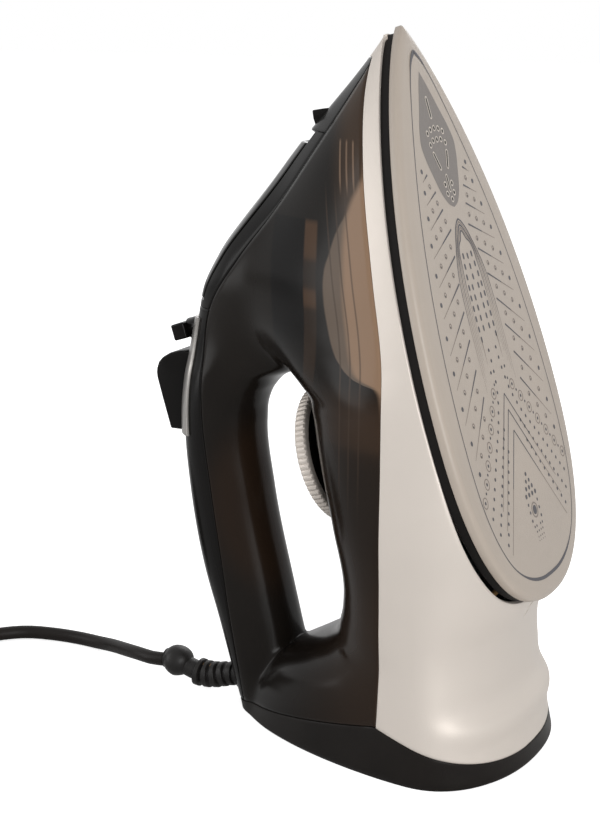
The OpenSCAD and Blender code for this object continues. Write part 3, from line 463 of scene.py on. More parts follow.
# %% Bezel and fill lid
def bezel_rings():
    """The bezel is the same strip, sunk in its middle so that the lid lies flush in it."""
    z = np.concatenate([[176, 176.15, 176.4], np.linspace(177, 178.9, 4), np.linspace(179.3, 250.1, 62),
                        [250.35, 250.5]])
    half = np.array([[0, 1], [0.2, 1], [0.4, 1], [0.55, 1], [0.655, 1], [0.67, 0.9], [0.68, 0.15], [0.7, 0],
                     [0.78, 0], [0.86, 0], [0.94, 0], [0.985, 0], [1, 0]])
    g = np.concatenate([-half[:0:-1, 0], half[:, 0]])
    dip = np.concatenate([half[:0:-1, 1], half[:, 1]])
    b, e = back_x(z)[:, None], strip_x(z)[:, None]
    x = b + (e - b) * g[None] ** 2
    side = np.where(g < 0, -1.0, 1.0)[None]
    deep = np.where(z > 179, 2.9, 0)[:, None] * dip[None]
    lip = 0.25 * np.clip(1 - (1 - np.abs(g))[None] / 0.02, 0, 1)
    zz = np.broadcast_to(z[:, None], x.shape)
    return np.concatenate([skin(x, zz, side, deep + lip), skin(x, zz, side, deep + WALL)[:, ::-1]], axis=1)

front_bezel = ring_piece("front_bezel_skin", bezel_rings())
fill_lid = ring_piece("fill_lid_skin", strip_rings(179.8, 246.2, 60, reach=0.62**2, top=0.0, under=2.3,
    lip=0.5))
for ob, body, node, slot in ((front_bezel, "iron", "front_bezel", "black_gloss"),
                             (fill_lid, "lid", "fill_lid", "lid_gloss")):
    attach(ob, body)
    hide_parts(node)
    print(ob.name, len(ob.data.polygons), "faces")

# %% [markdown]
# The soleplate's edge is rounded over: the widest line lies a little behind the face. Rings run
# from the middle of the face outwards, over the edge and down to the gap. A ring is the outline
# drawn in by a margin, which is the outline itself made smaller about its own middle.

# %% Soleplate
def plan_ring(margin, h, n=150):
    """The outline drawn in by a margin, at height h into the iron, as one ring."""
    u = (1 - np.cos(np.linspace(0, np.pi, n))) / 2
    q = margin + (SOLE_LEN - 3.2 * margin) * u
    half = outline(u * SOLE_LEN) * (1 - margin / 60)
    half[0] = half[-1] = 0
    q = np.concatenate([q, q[-2:0:-1]])
    y = np.concatenate([half, -half[-2:0:-1]])
    return over_sole(q, y, h)

FACE = -1.6                             # the face stands this much proud of the widest line
sole_rings = [plan_ring(9.0, FACE), plan_ring(7.4, FACE), plan_ring(6.2, FACE + 0.03),
              plan_ring(5.0, FACE + 0.14)]
sole_rings += [plan_ring(3.4 - 3.4 * math.sin(a),
                         FACE + 0.4 + 2.0 * (1 - math.cos(a))) for a in np.radians(np.arange(0, 91, 10))]
sole_rings += [plan_ring(0.0, 3.0), plan_ring(0.25, 3.35), plan_ring(0.7, 3.5), plan_ring(10, 3.5),
               plan_ring(10, 13.0)]
sole_rings = np.array(sole_rings)
soleplate = ring_piece("soleplate_skin", sole_rings[::-1], angle=60)
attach(soleplate, "iron")
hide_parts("soleplate")
gasket = ring_piece("sole_gasket_skin", [plan_ring(1.0, 3.45), plan_ring(0.9, 7.4), plan_ring(5, 7.4),
                                         plan_ring(5, 3.45)], loop=True)
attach(gasket, "iron")
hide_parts("sole_gasket")
print("soleplate:", len(soleplate.data.polygons), "faces")

# %% [markdown]
# The face carries a printed and pressed pattern: a border line, three nested arrowheads with rows
# of dots, slanted grooves with dots between them, a long arch of lines with rows of dashes inside,
# a grey lens near the tip with steam slots, and a small diamond of dots. Flat shapes a few
# hundredths of a millimetre proud of the face make it, in four tones. The steam holes are not cut:
# dark shapes in them are painted shade for their insides.

# %% Pattern shapes
LIFT = 0.05
class Pattern:
    """Collects flat polygons on the face; each is a closed list of (q, y)."""
    def __init__(self, name, lift=LIFT):
        self.name, self.lift, self.points, self.faces = name, lift, [], []
    def polygon(self, qy):
        n0 = sum(len(p) for p in self.points)
        qy = np.asarray(qy, float)
        self.points.append(qy)
        self.faces.append(list(range(n0, n0 + len(qy))))
    def strip(self, inner, outer):
        """A band between two lines with the same number of points."""
        inner, outer = np.asarray(inner, float), np.asarray(outer, float)
        n0, n = sum(len(p) for p in self.points), len(inner)
        self.points += [inner, outer]
        self.faces += [[n0 + i, n0 + i + 1, n0 + n + i + 1, n0 + n + i] for i in range(n - 1)]
    def capsule(self, a, b, r, r2=None):
        """A rounded stroke from a to b, r wide at a and r2 at b."""
        a, b = np.array(a, float), np.array(b, float)
        r2 = r if r2 is None else r2
        t = math.atan2(b[1] - a[1], b[0] - a[0])
        w = np.linspace(np.pi / 2, 3 * np.pi / 2, 7)
        left = a + r * np.stack([np.cos(t + w), np.sin(t + w)], -1)
        right = b + r2 * np.stack([np.cos(t + w + np.pi), np.sin(t + w + np.pi)], -1)
        self.polygon(np.concatenate([left, right]))
    def dot(self, q, y, r, n=12):
        w = np.linspace(0, 2 * np.pi, n, endpoint=False)
        self.polygon(np.stack([q + r * np.cos(w), y + r * np.sin(w)], -1))
    def hoop(self, q, y, r, thick, n=28):
        w = np.linspace(0, 2 * np.pi, n + 1)
        e = np.stack([np.cos(w), np.sin(w)], -1)
        self.strip(np.array([q, y]) + (r - thick / 2) * e, np.array([q, y]) + (r + thick / 2) * e)
    def line(self, qy, thick):
        """A line of varying width through points; thick is one number or one for each point."""
        qy = np.asarray(qy, float)
        t = np.gradient(qy, axis=0)
        t /= np.maximum(np.linalg.norm(t, axis=1, keepdims=True), 1e-9)
        half = np.broadcast_to(np.asarray(thick, float), len(qy))[:, None] / 2
        nrm = np.stack([-t[:, 1], t[:, 0]], -1) * half
        self.strip(qy - nrm, qy + nrm)
    def build(self):
        p = np.concatenate(self.points)
        pts = over_sole(p[:, 0], p[:, 1], FACE - self.lift)
        me = bpy.data.meshes.new(self.name)
        me.from_pydata((pts * MM).tolist(), [], self.faces)
        me.update()
        bm = bmesh.new()
        bm.from_mesh(me)
        bmesh.ops.recalc_face_normals(bm, faces=bm.faces)
        out = Vector(NORMAL)
        bmesh.ops.reverse_faces(bm, faces=[f for f in bm.faces if f.normal.dot(out) < 0])
        bm.to_mesh(me)
        bm.free()
        ob = bpy.data.objects.new(self.name, me)
        bpy.context.scene.collection.objects.link(ob)
        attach(ob, "iron")
        return ob

def spline(points, n):
    """A smooth line through a few points, each coordinate by the same cubic as the profiles."""
    p = np.array(points, float)
    s = np.concatenate([[0], np.cumsum(np.linalg.norm(np.diff(p, axis=0), axis=1))])
    t = np.linspace(0, s[-1], n)
    return np.stack([curve(np.stack([s, p[:, i]], -1), t) for i in range(p.shape[1])], -1)

dark, faint, grey, pale = (Pattern("sole_marks_dark"), Pattern("sole_marks_faint"),
                           Pattern("sole_lens", 0.03), Pattern("sole_marks_pale", 0.08))
BORDER = [[8.4, 0], [8.7, 8], [10.2, 16], [13.5, 24.5], [20, 33.6], [30, 40.8], [45, 46.3], [60, 48.3],
          [75, 48.7], [95, 47.6], [115, 45], [135, 40.8], [160, 33.2], [180, 25], [200, 15.4], [212, 8.6],
          [218, 4], [221, 0]]
edge = spline(BORDER, 120)
wide_line = 0.55 + 0.9 * np.exp(-((edge[:, 0] - 8) / 6) ** 2)
wide_line += 1.3 * np.exp(-((edge[:, 0] - 221.5) / 5) ** 2)
for s in (1, -1):
    dark.line(edge * [1, s], wide_line)
    for tip, reach in ((67.5, 43), (76, 42), (82.6, 41)):         # nested arrowheads
        t = np.linspace(0, 1, 24)
        dark.line(np.stack([tip - reach * t, s * (0.735 * reach * t)], -1)[:12], 0.62 - 0.25 * t[:12])
        faint.line(np.stack([tip - reach * t, s * (0.735 * reach * t)], -1)[11:], 0.45 - 0.2 * t[:13])
    for k in range(10):
        dark.dot(29 + 3.56 * k, s * (33.2 - 2.52 * k), 0.75)
    for k in range(12):
        dark.dot(34.5 + 3.2 * k, s * (37.8 - 2.6 * k), 0.75)
    row = spline([[41.5, 40.8], [60.5, 24.3], [76, 10.8], [83.3, 6.6], [92, 4.4], [101, 3.8]], 18)
    for q, y in row:
        dark.dot(q, s * y, 0.75)
    for k in range(7):
        q, y = 48.5 + 6.0 * k, 43.8 - 5.62 * k
        faint.hoop(q, s * y, 2.1, 0.5)
        dark.dot(q, s * y, 0.7)
        dark.dot(q + 3.1, s * (y - 2.9), 0.6)
    dark.dot(92.5, s * 7.4, 0.7)
    grooves = [[65, 42.3, 85, 20.3], [79, 43, 96, 20.8], [92.5, 42.3, 107.7, 19.3],
               [105.5, 40, 118.7, 17.6], [119.3, 37, 129.5, 15.3], [131, 33.8, 140.2, 12.3],
               [142, 31.5, 150.5, 9.3], [152.6, 27.7, 158.8, 12], [162, 25.2, 166, 14.3],
               [170.8, 23.3, 173.1, 18.1]]
    for a, b, c, d in grooves:
        m = [(a + c) / 2, (b + d) / 2]
        faint.capsule((a, s * b), (m[0], s * m[1]), 0.12, 0.26)
        dark.capsule((m[0], s * m[1]), (c, s * d), 0.24, 0.42)
    columns = [[59.5, 42, 77.5, 24.8, 4], [71.5, 42, 88.5, 24.6, 4], [85, 42, 101, 24.2, 4],
               [98.7, 41.2, 111.8, 22.8, 4], [112, 39.2, 123.3, 20.6, 4], [124.5, 36.2, 133.5, 18.2, 4],
               [135.5, 33.7, 144.2, 13.8, 4], [146.8, 30.8, 154.2, 12.2, 4], [157, 27.2, 161.8, 15.2, 3],
               [166.7, 24.2, 168.6, 18.2, 2], [174.8, 22, 175, 22, 1]]
    for a, b, c, d, n in columns:
        for k in range(n):
            t = k / max(n - 1, 1)
            q, y = a + (c - a) * t, b + (d - b) * t
            if k == 0:
                dark.dot(q, s * y, 1.0)
            else:
                faint.hoop(q, s * y, 0.85, 0.55)
                dark.dot(q - 0.4, s * (y + 0.3), 0.42)
    for k, w in enumerate((15.6, 14.1, 12.6, 11.1, 9.6)):          # the long arch
        tip = 153.8 - 1.15 * k
        arch = spline([[86 + 4 * k, w], [104, w], [114, w - 0.2], [134, w * 0.83], [144, w * 0.54],
                       [tip - 3.4, w * 0.29], [tip - 0.7, w * 0.1], [tip, 0]], 60)
        (faint if k in (1, 3) else dark).line(arch[22:] * [1, s], np.linspace(0.3, 0.75, 38))
        faint.line(arch[:23] * [1, s], np.linspace(0.1, 0.3, 23))
    for k in range(9):
        q = 106 + 4.15 * k
        y = 7.7 - 3.6 * max(0, (q - 114) / 25.5) ** 1.6
        dark.capsule((q - 0.55, s * y), (q + 0.55, s * y), 0.72)
    for k in range(5):
        dark.capsule((109.4 + 4.15 * k, s * 3.0), (110.5 + 4.15 * k, s * 3.0), 0.72)
    faint.line([[96, s * 8.2], [101, s * 8.1], [106, s * 7.9]], [0.1, 0.4, 0.8])
    # diamond of dots near the rear
    for q in (31, 34.4, 37.6):
        dark.dot(q, s * 5, 0.7)
    for q, y, r in ((41, 5, 1.0), (41, 1.7, 1.0), (43.8, 3.2, 0.95), (46.5, 1.6, 0.85), (28.4, 4.2, 0.55),
                    (28.4, 2.1, 0.55), (26.2, 3.2, 0.45), (26.2, 1.1, 0.45), (24, 3, 0.35), (24, 1, 0.35),
                    (22.4, 3, 0.25), (22.4, 1, 0.25)):
        dark.dot(q, s * y, r)
    # the lens: slots and holes with a paler pressed rim
    pale.capsule((174.6, s * 3.6), (180.4, s * 6.4), 1.05)
    for q, y in ((184, 7.3), (188.6, 7.4), (185.6, 3.8), (189.9, 3.8), (164.2, 3.2), (168, 3.3)):
        pale.dot(q, s * y, 1.3, 16)
for k in range(3):
    dark.capsule((129.9 + 4.2 * k, 0), (131 + 4.2 * k, 0), 0.72)
dark.dot(43.8, 0, 0.95)
dark.dot(49.3, 0, 0.9)
dark.dot(34.5, 0, 1.9, 20)
faint.hoop(34.5, 0, 2.9, 0.7)
pale.capsule((195, 0), (202, 0), 1.15)
pale.capsule((165.5, 0), (171, 0), 1.0)
pale.dot(161.8, 0, 1.3, 16)
pale.dot(185.8, 0, 1.3, 16)
pale.dot(190.3, 0, 1.3, 16)
lens = spline([[158.6, 0], [160, 4], [164, 8.2], [172, 12.4], [179, 15.3], [184.5, 16.2], [189, 14.6],
               [199, 8.8], [208, 3.4], [213, 0]], 60)
grey.polygon(np.concatenate([lens, lens[-2:0:-1] * [1, -1]]))

# the steam holes are not cut: these dark shapes are painted shade for their insides
holes = Pattern("sole_holes", 0.1)
for s in (1, -1):
    holes.capsule((174.6, s * 3.6), (180.4, s * 6.4), 0.55)
    for q, y in ((184, 7.3), (188.6, 7.4), (185.6, 3.8), (189.9, 3.8), (164.2, 3.2), (168, 3.3)):
        holes.dot(q, s * y, 0.8, 14)
holes.capsule((195, 0), (202, 0), 0.6)
holes.capsule((165.5, 0), (171, 0), 0.5)
holes.dot(161.8, 0, 0.8, 14)
holes.dot(185.8, 0, 0.85, 14)
holes.dot(190.3, 0, 0.85, 14)
marks = {p.name: p.build() for p in (dark, faint, grey, pale, holes)}
print("pattern:", {k: len(v.data.polygons) for k, v in marks.items()})

# %% [markdown]
# The temperature dial is a silver ring with fine teeth round its edge and a black disc inside. Each
# tooth is a small wave in the radius, so the whole ring is one profile turned about the dial's own
# axis, with the wave let in only where the profile is at its widest.

# %% Temperature dial
DIAL = np.array([-24.487, 0, 118.227])      # middle of the dial's underside
DIAL_R, DIAL_H = 29.0, 5.2

def knurled(name, profile, at, axis, teeth, deep, sides, angle=40):
    """A turned profile [radius, distance, share of the wave]; a valley takes deep * share off the radius."""
    p = np.array(profile, float)
    a = np.linspace(0, 2 * np.pi, sides, endpoint=False)
    wave = np.abs(np.sin(a * teeth / 2)) ** 0.8
    r = p[:, :1] - deep * p[:, 2:3] * (1 - wave[None])
    u = np.array([0.0, 1, 0] if abs(axis[1]) < 0.9 else [1.0, 0, 0])
    v = np.cross(axis, u)
    pts = (np.array(at, float) + r[..., None] * (np.cos(a)[:, None] * u + np.sin(a)[:, None] * v)[None]
           + p[:, 1][:, None, None] * np.array(axis, float))
    return ring_piece(name, pts, loop=True, angle=angle)

dial = knurled("thermostat_dial_skin", [[25.7, 0.1, 0], [27.9, 0.1, 0.1], [28.5, 0.3, 0.6],
                                        [DIAL_R, 0.8, 1], [DIAL_R, DIAL_H - 0.7, 1],
                                        [28.6, DIAL_H - 0.25, 0.6], [27.9, DIAL_H - 0.05, 0.1],
                                        [27.3, DIAL_H, 0], [26.4, DIAL_H - 0.1, 0], [25.7, DIAL_H - 0.4, 0],
                                        [25.5, DIAL_H - 0.8, 0]], DIAL, -NORMAL, 75, 0.5, 900)
dial_cap = lathe("dial_cap_skin", [[3.05, -0.9], [3.05, 3.0], [0.01, 3.0], [0.01, 4.4], [19, 4.4],
                                   [21, 4.6], [23.6, 4.6], [24.8, 4.4], [25.3, 4.0], [25.45, 3.6],
                                   [25.45, 0.2], [25.1, 0], [13, -0.2], [11.6, -0.5], [11, -0.9]][::-1],
                                   DIAL, -NORMAL, 160)
for ob, node, slot in ((dial, "thermostat_dial", "silver_plastic"), (dial_cap, "dial_cap", "black_gloss")):
    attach(ob, "dial")
    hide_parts(node)
    print(ob.name, len(ob.data.polygons), "faces")

# %% [markdown]
# The two pump buttons, the steam lever and the spray nozzle are plain moulded wedges and bars. Their
# side outlines are extruded and a bevel of half a millimetre breaks each edge, as a mould would.

# %% Buttons, lever and nozzle
def slab(name, outline_xz, y0, y1, round_off, segments=4):
    """A side outline (x, z) carried across from y0 to y1, its edges rounded."""
    p = np.array(outline_xz, float)
    a = np.stack([p[:, 0], np.full(len(p), y0), p[:, 1]], -1)
    b = np.stack([p[:, 0], np.full(len(p), y1), p[:, 1]], -1)
    n = len(p)
    me = bpy.data.meshes.new(name)
    faces = [list(range(n))[::-1], list(range(n, 2 * n))] + [[i, (i + 1) % n, n + (i + 1) % n,
        n + i] for i in range(n)]
    me.from_pydata((np.concatenate([a, b]) * MM).tolist(), [], faces)
    bm = bmesh.new()
    bm.from_mesh(me)
    bmesh.ops.recalc_face_normals(bm, faces=bm.faces)
    bmesh.ops.bevel(bm, geom=list(bm.edges), offset=round_off * MM, segments=segments, affect="EDGES",
                    profile=0.5)
    for f in bm.faces:
        f.smooth = True
    bm.to_mesh(me)
    bm.free()
    me.set_sharp_from_angle(angle=math.radians(40))
    ob = bpy.data.objects.new(name, me)
    bpy.context.scene.collection.objects.link(ob)
    return ob

BUTTON = [[-91.5, 155.5], [-97, 155.5], [-101.2, 154.3], [-105, 152], [-107, 149.8], [-108, 147],
          [-108.2, 145], [-107.9, 142.6], [-105.3, 133.6], [-101.5, 121], [-91.5, 121]]
spray_button = slab("spray_button_skin", BUTTON, -9.3, -0.3, 0.7)
burst_button = slab("burst_button_skin", BUTTON, 0.3, 9.3, 0.7)

def bar_over_sole(q0, q1, y0, y1, h0, h1):
    """Corners of a bar square to the soleplate, given along it, across it and out of it."""
    c = np.array([[q, y, -h] for q in (q0, q1) for y in (y0, y1) for h in (h0, h1)], float)
    return over_sole(c[:, 0], c[:, 1], c[:, 2])

def bevelled(name, corners, round_off, more=()):
    """A box from eight corners, edges rounded; further pieces are joined as they are."""
    me = bpy.data.meshes.new(name)
    me.from_pydata((corners * MM).tolist(), [], [[0, 1, 3, 2], [4, 6, 7, 5], [0, 4, 5, 1], [2, 3, 7, 6],
                                                 [0, 2, 6, 4], [1, 5, 7, 3]])
    bm = bmesh.new()
    bm.from_mesh(me)
    bmesh.ops.recalc_face_normals(bm, faces=bm.faces)
    bmesh.ops.bevel(bm, geom=list(bm.edges), offset=round_off * MM, segments=4, affect="EDGES", profile=0.5)
    for ob in more:
        bm.from_mesh(ob.data)
        bpy.data.objects.remove(ob)
    for f in bm.faces:
        f.smooth = True
    bm.to_mesh(me)
    bm.free()
    me.set_sharp_from_angle(angle=math.radians(40))
    ob = bpy.data.objects.new(name, me)
    bpy.context.scene.collection.objects.link(ob)
    return ob

LEVER_Q = float((LEVER - SOLE) @ ALONG)
LEVER_H = float((LEVER - SOLE) @ NORMAL)
hub = lathe("hub", [[4.55, -6], [4.55, 5.4], [4.2, 5.9], [3.6, 6]], LEVER, -NORMAL, 64)
steam_lever = bevelled("steam_lever_skin", bar_over_sole(LEVER_Q - 3.5, LEVER_Q + 3.5, -6.5, 6.5,
    LEVER_H - 11.5, LEVER_H - 5), 0.8, [hub])
NOZZLE = [[-35.3, 258.5], [-30, 259.4], [-24.2, 259.9], [-26, 251.6], [-33.6, 252.1], [-34.8, 255.2]]
spray_nozzle = slab("spray_nozzle_skin", NOZZLE, -6, 6, 0.6)
for ob, body, node in ((spray_button, "spray_key", "spray_button"),
                       (burst_button, "burst_key", "burst_button"), (steam_lever, "lever", "steam_lever"),
                       (spray_nozzle, "iron", "spray_nozzle")):
    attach(ob, body)
    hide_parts(node)
    print(ob.name, len(ob.data.polygons), "faces")

# %% [markdown]
# The lead leaves the handle's foot through a ribbed rubber boot that ends in a ball. The weight of
# the lead bends the boot down, so it is a profile with ribs carried along a sagging line. The cord
# route then lies on the table, runs in a loose curve and is wound in eight strands round one coil.

# %% Cord route
ROUTE = [[-110.6, 0, 10.2], [-118, 0, 9.6], [-128, 3, 9], [-138, 8, 7.4], [-149, 14, 5.4], [-160, 18, 3.8],
         [-172, 20, 3.2], [-186, 19, 3.2], [-200, 15, 3.2], [-210, 6, 3.2], [-217, -7, 3.2],
         [-224, -20, 3.2], [-235, -31.5, 3.3], [-250, -38.5, 4.3], [-267, -40.8, 6.2]]
CENTRE, MID_R, STRAND_R, TURNS = np.array([-267, 0, 12.0]), 35.0, 8.23, 7

def smooth_path(points, step):
    """Cubic pieces through the points, one place every step millimetres."""
    p = np.array(points, float)
    s = np.concatenate([[0], np.cumsum(np.linalg.norm(np.diff(p, axis=0), axis=1))])
    t = np.linspace(0, s[-1], max(int(s[-1] / step), 2) + 1)
    return np.stack([curve(np.stack([s, p[:, i]], -1), t) for i in range(3)], -1)

def coil_path(per_turn):
    """The strand rides on a small circle about the coil's mid line and moves an eighth round it a turn."""
    t = np.linspace(0, TURNS, TURNS * per_turn + 1)[1:]
    psi = np.radians(-45 - 45 * t)
    az = np.radians(-90 - 360 * t)
    rho = MID_R + STRAND_R * np.cos(psi)
    return CENTRE + np.stack([rho * np.cos(az), rho * np.sin(az), STRAND_R * np.sin(psi)], -1)

coil = coil_path(40)
last = coil[-1]
tail_arc = [[-302 - 30 * math.sin(a), -13 - 30 * math.cos(a), z] for a,
            z in zip(np.radians([15, 30, 45, 60, 75, 90]), (3.5, 4, 5.1, 6.8, 9, 11.5))]
tail = [last, [-279, -43.3, 11.2], [-290, -43.1, 8.2], [-300, -42.8, 4.8]] + tail_arc + [[-332, -4, 14.4],
    [-332, 4, 16.9], [-332, 11, 18.2], [-332, 18, 18.6], [-332, 24, 18.6]]
cord_line = np.concatenate([smooth_path(ROUTE, 4.5), coil, smooth_path(tail, 4.5)[1:]])

def along_path(name, path, radius, sides=40, angle=40, up=(0.0, 1.0, 0.01)):
    """Circles of given radii about a path, each square to the path; up sets where a circle starts."""
    p = np.array(path, float)
    t = np.gradient(p, axis=0)
    t /= np.linalg.norm(t, axis=1, keepdims=True)
    u = np.cross(t, up)
    u /= np.linalg.norm(u, axis=1, keepdims=True)
    v = np.cross(t, u)
    a = np.linspace(0, 2 * np.pi, sides, endpoint=False)
    r = np.broadcast_to(np.asarray(radius, float), len(p))[:, None, None]
    pts = p[:, None] + r * (np.cos(a)[None, :, None] * u[:, None] + np.sin(a)[None, :, None] * v[:, None])
    return ring_piece(name, pts, angle=angle)

cord = along_path("mains_cord", cord_line, 3.1, 24, 60, (0, 0, 1.0))
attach(cord, "iron")
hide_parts("cord", "cord_coil")

# %% Cord boot
SAG = [[-66, 0, 10.2], [-72, 0, 10.2], [-78, 0, 9.4], [-85, 0, 7.7], [-92, 0, 7.2], [-98, 0, 8.4],
       [-104.5, 0, 10.6], [-112, 0, 11]]
sag = smooth_path(SAG, 0.18)
d = np.concatenate([[0], np.cumsum(np.linalg.norm(np.diff(sag, axis=0), axis=1))])

def boot_radius(d):
    """Neck, five ribs that grow towards the ball, and the ball itself with a hole for the cord."""
    r = np.full_like(d, 4.4)
    r = np.where(d < 8.6, 4.95, r)
    for k in range(5):
        a = 11.2 + 4.15 * k
        top = 5.3 + 0.24 * k
        edge = np.clip((1.42 - np.abs(d - a)) / 0.45, 0, 1)
        r = np.maximum(r, 4.4 + (top - 4.4) * np.sqrt(1 - (1 - edge) ** 2))
    ball = 7.0**2 - (d - (39.9)) ** 2
    r = np.where((ball > 0) & (d > 31), np.maximum(r, np.sqrt(np.maximum(ball, 0))), r)
    return r

keep = d < 46.2
sag, d = sag[keep], d[keep]
boot_r = boot_radius(d)
lead_in = sag[::-1][:30]
boot = along_path("cord_boot_skin", np.concatenate([sag, lead_in[3:]]),
                  np.concatenate([boot_r, np.full(27, 3.2)]), 48, 50)
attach(boot, "boot")
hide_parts("cord_boot")
print("boot:", len(boot.data.polygons), "faces, largest radius", round(float(boot_r.max()), 2), "mm")

# %% [markdown]
# The lead ends in a round two-pin plug. It lies on its side by the coil. The body is turned from
# one profile with finger grooves, a flat shoulder and a flared relief, and the pins have rounded
# ends and a collar at the foot.

# %% Plug and tie
PLUG = np.array([-332, 40, 18.6])
plug_body = knurled("plug_body_skin", [[3.3, -30, 0], [4.4, -30, 0], [4.7, -29.6, 0], [4.8, -27.2, 0],
                                       [3.9, -26.9, 0], [3.9, -26, 0], [5.1, -25.7, 0], [5.2, -23, 0],
                                       [4.2, -22.7, 0], [4.2, -21.8, 0], [5.6, -21.5, 0], [5.8, -18.6, 0],
                                       [4.7, -18.3, 0], [4.7, -17.4, 0], [6.2, -17, 0], [6.5, -14.2, 0],
                                       [9.4, -14, 0.1], [11.2, -13.5, 0.4], [12, -12.2, 1], [12, -3.2, 1],
                                       [12.2, -1.8, 0.6], [13.4, -0.6, 0.1], [16.6, 0, 0], [17.9, 0.4, 0],
                                       [18.5, 1.5, 0], [18.5, 14.9, 0], [18.2, 15.6, 0], [17.5, 16, 0],
                                       [16, 16, 0], [15.7, 15.5, 0], [3.3, 15.5, 0]], PLUG, (0, 1, 0), 24,
                                       0.8, 288)
pin_profile = [[0.02, 35], [1.1, 34.8], [1.9, 34.2], [2.35, 33.1], [2.4, 32.2], [2.4, 16.4], [3.2, 16.2],
               [3.2, 14.8], [0.02, 14.8]]
pins = [lathe("pin_%d" % i, pin_profile, PLUG + np.array([s * 9.5, 0, 0]), (0, 1, 0), 48) for i,
        s in enumerate((-1, 1))]
plug_pins = mesh_piece("plug_pins_skin", np.zeros((0, 3)), np.zeros((0, 3), int))
bm = bmesh.new()
for p in pins:
    bm.from_mesh(p.data)
    bpy.data.objects.remove(p)
bm.to_mesh(plug_pins.data)
bm.free()
ty, tx = CENTRE[1] + MID_R, CENTRE[0]
a = np.linspace(0, 2 * np.pi, 96, endpoint=False)
band = [[11.45, -2.5], [11.85, -2.5], [12, -2.2], [12, 2.2], [11.85, 2.5], [11.45, 2.5]]
coil_tie = knurled("coil_tie_skin", [[r, w, 0] for r, w in band], (tx, ty, 12.0), (1, 0, 0), 4, 0, 96)
for ob, node, slot in ((plug_body, "plug_body", "plug_black"), (plug_pins, "plug_pins", "plug_metal"),
                       (coil_tie, "coil_tie", "plug_black")):
    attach(ob, "iron")
    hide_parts(node)
    print(ob.name, len(ob.data.polygons), "faces")

# %% [markdown]
# Now the finishes. Moulded plastic, painted metal and rubber all share one recipe here: a colour
# that drifts a little over a few centimetres, a roughness that drifts with it, and a fine bump. The
# numbers differ from finish to finish, so one function builds the nodes from them.

# %% A finish from a few numbers
def finish(name, colour, rough, drift=0.06, scale=30, rough_drift=0.08, grain=1500, bump=0.02, metallic=0.0,
           coat=0.0, coat_rough=0.1, specular=0.5):
    """Colour times 1 +- drift by slow noise, roughness +- rough_drift by the same, bump by fine noise."""
    mat = bpy.data.materials.new(name)
    mat.use_nodes = True
    nt = mat.node_tree
    shader = nt.nodes["Principled BSDF"]
    place = nt.nodes.new("ShaderNodeTexCoord")
    slow = nt.nodes.new("ShaderNodeTexNoise")
    slow.inputs["Scale"].default_value = scale
    slow.inputs["Detail"].default_value = 3
    fine = nt.nodes.new("ShaderNodeTexNoise")
    fine.inputs["Scale"].default_value = grain
    fine.inputs["Detail"].default_value = 2
    for n in (slow, fine):
        nt.links.new(place.outputs["Object"], n.inputs["Vector"])
    ramp = nt.nodes.new("ShaderNodeValToRGB")
    c = np.array(colour, float)
    ramp.color_ramp.elements[0].position, ramp.color_ramp.elements[1].position = 0.3, 0.7
    ramp.color_ramp.elements[0].color = (*np.clip(c * (1 - drift), 0, 1), 1)
    ramp.color_ramp.elements[1].color = (*np.clip(c * (1 + drift), 0, 1), 1)
    nt.links.new(slow.outputs["Fac"], ramp.inputs["Fac"])
    nt.links.new(ramp.outputs["Color"], shader.inputs["Base Color"])
    spread = nt.nodes.new("ShaderNodeMapRange")
    for key, v in (("From Min", 0.3), ("From Max", 0.7), ("To Min", max(rough - rough_drift, 0.02)),
                   ("To Max", rough + rough_drift)):
        spread.inputs[key].default_value = v
    nt.links.new(slow.outputs["Fac"], spread.inputs["Value"])
    nt.links.new(spread.outputs["Result"], shader.inputs["Roughness"])
    rise = nt.nodes.new("ShaderNodeBump")
    rise.inputs["Strength"].default_value, rise.inputs["Distance"].default_value = bump, 0.0004
    nt.links.new(fine.outputs["Fac"], rise.inputs["Height"])
    nt.links.new(rise.outputs["Normal"], shader.inputs["Normal"])
    shader.inputs["Metallic"].default_value = metallic
    shader.inputs["Coat Weight"].default_value = coat
    shader.inputs["Coat Roughness"].default_value = coat_rough
    shader.inputs["Specular IOR Level"].default_value = specular
    return mat, nt, ramp, shader

silver_plastic = finish("silver_plastic", (0.61, 0.555, 0.503), 0.45, 0.02, 14, 0.03, 2600, 0.10,
                        metallic=0.3, specular=0.35)[0]
silver_trim = finish("silver_trim", (0.3, 0.285, 0.27), 0.3, 0.03, 30, 0.05, 2200, 0.08, metallic=0.6)[0]
black_gloss = finish("black_gloss", (0.0045, 0.004, 0.0037), 0.2, 0.15, 25, 0.05, 900, 0.02,
                     specular=0.1)[0]
lid_gloss = finish("lid_gloss", (0.008, 0.0075, 0.007), 0.1, 0.15, 25, 0.03, 700, 0.02, specular=0.4)[0]
heel_black = finish("heel_black", (0.0105, 0.0088, 0.0078), 0.36, 0.15, 40, 0.06, 1800, 0.12,
                    specular=0.1)[0]
boot_rubber = finish("boot_rubber", (0.010, 0.009, 0.0085), 0.42, 0.2, 60, 0.08, 1400, 0.2,
                     specular=0.22)[0]
cord_black = finish("cord_black", (0.010, 0.008, 0.007), 0.42, 0.2, 45, 0.06, 1600, 0.2, specular=0.13)[0]
plug_black = finish("plug_black", (0.02, 0.019, 0.018), 0.4, 0.15, 60, 0.06, 1500, 0.2)[0]
plug_metal = finish("plug_metal", (0.7, 0.68, 0.64), 0.22, 0.04, 120, 0.05, 1200, 0.05, metallic=1)[0]
sole_ceramic = finish("sole_ceramic", (0.4, 0.343, 0.29), 0.36, 0.03, 22, 0.04, 2400, 0.18, specular=0.5)[0]
gasket_black = finish("gasket_black", (0.006, 0.005, 0.0045), 0.55, 0.2, 70, 0.08, 1200, 0.2,
                      specular=0.12)[0]
marks_dark = finish("sole_marks_dark", (0.05, 0.047, 0.055), 0.4, 0.1, 60, 0.05, 2400, 0.1)[0]
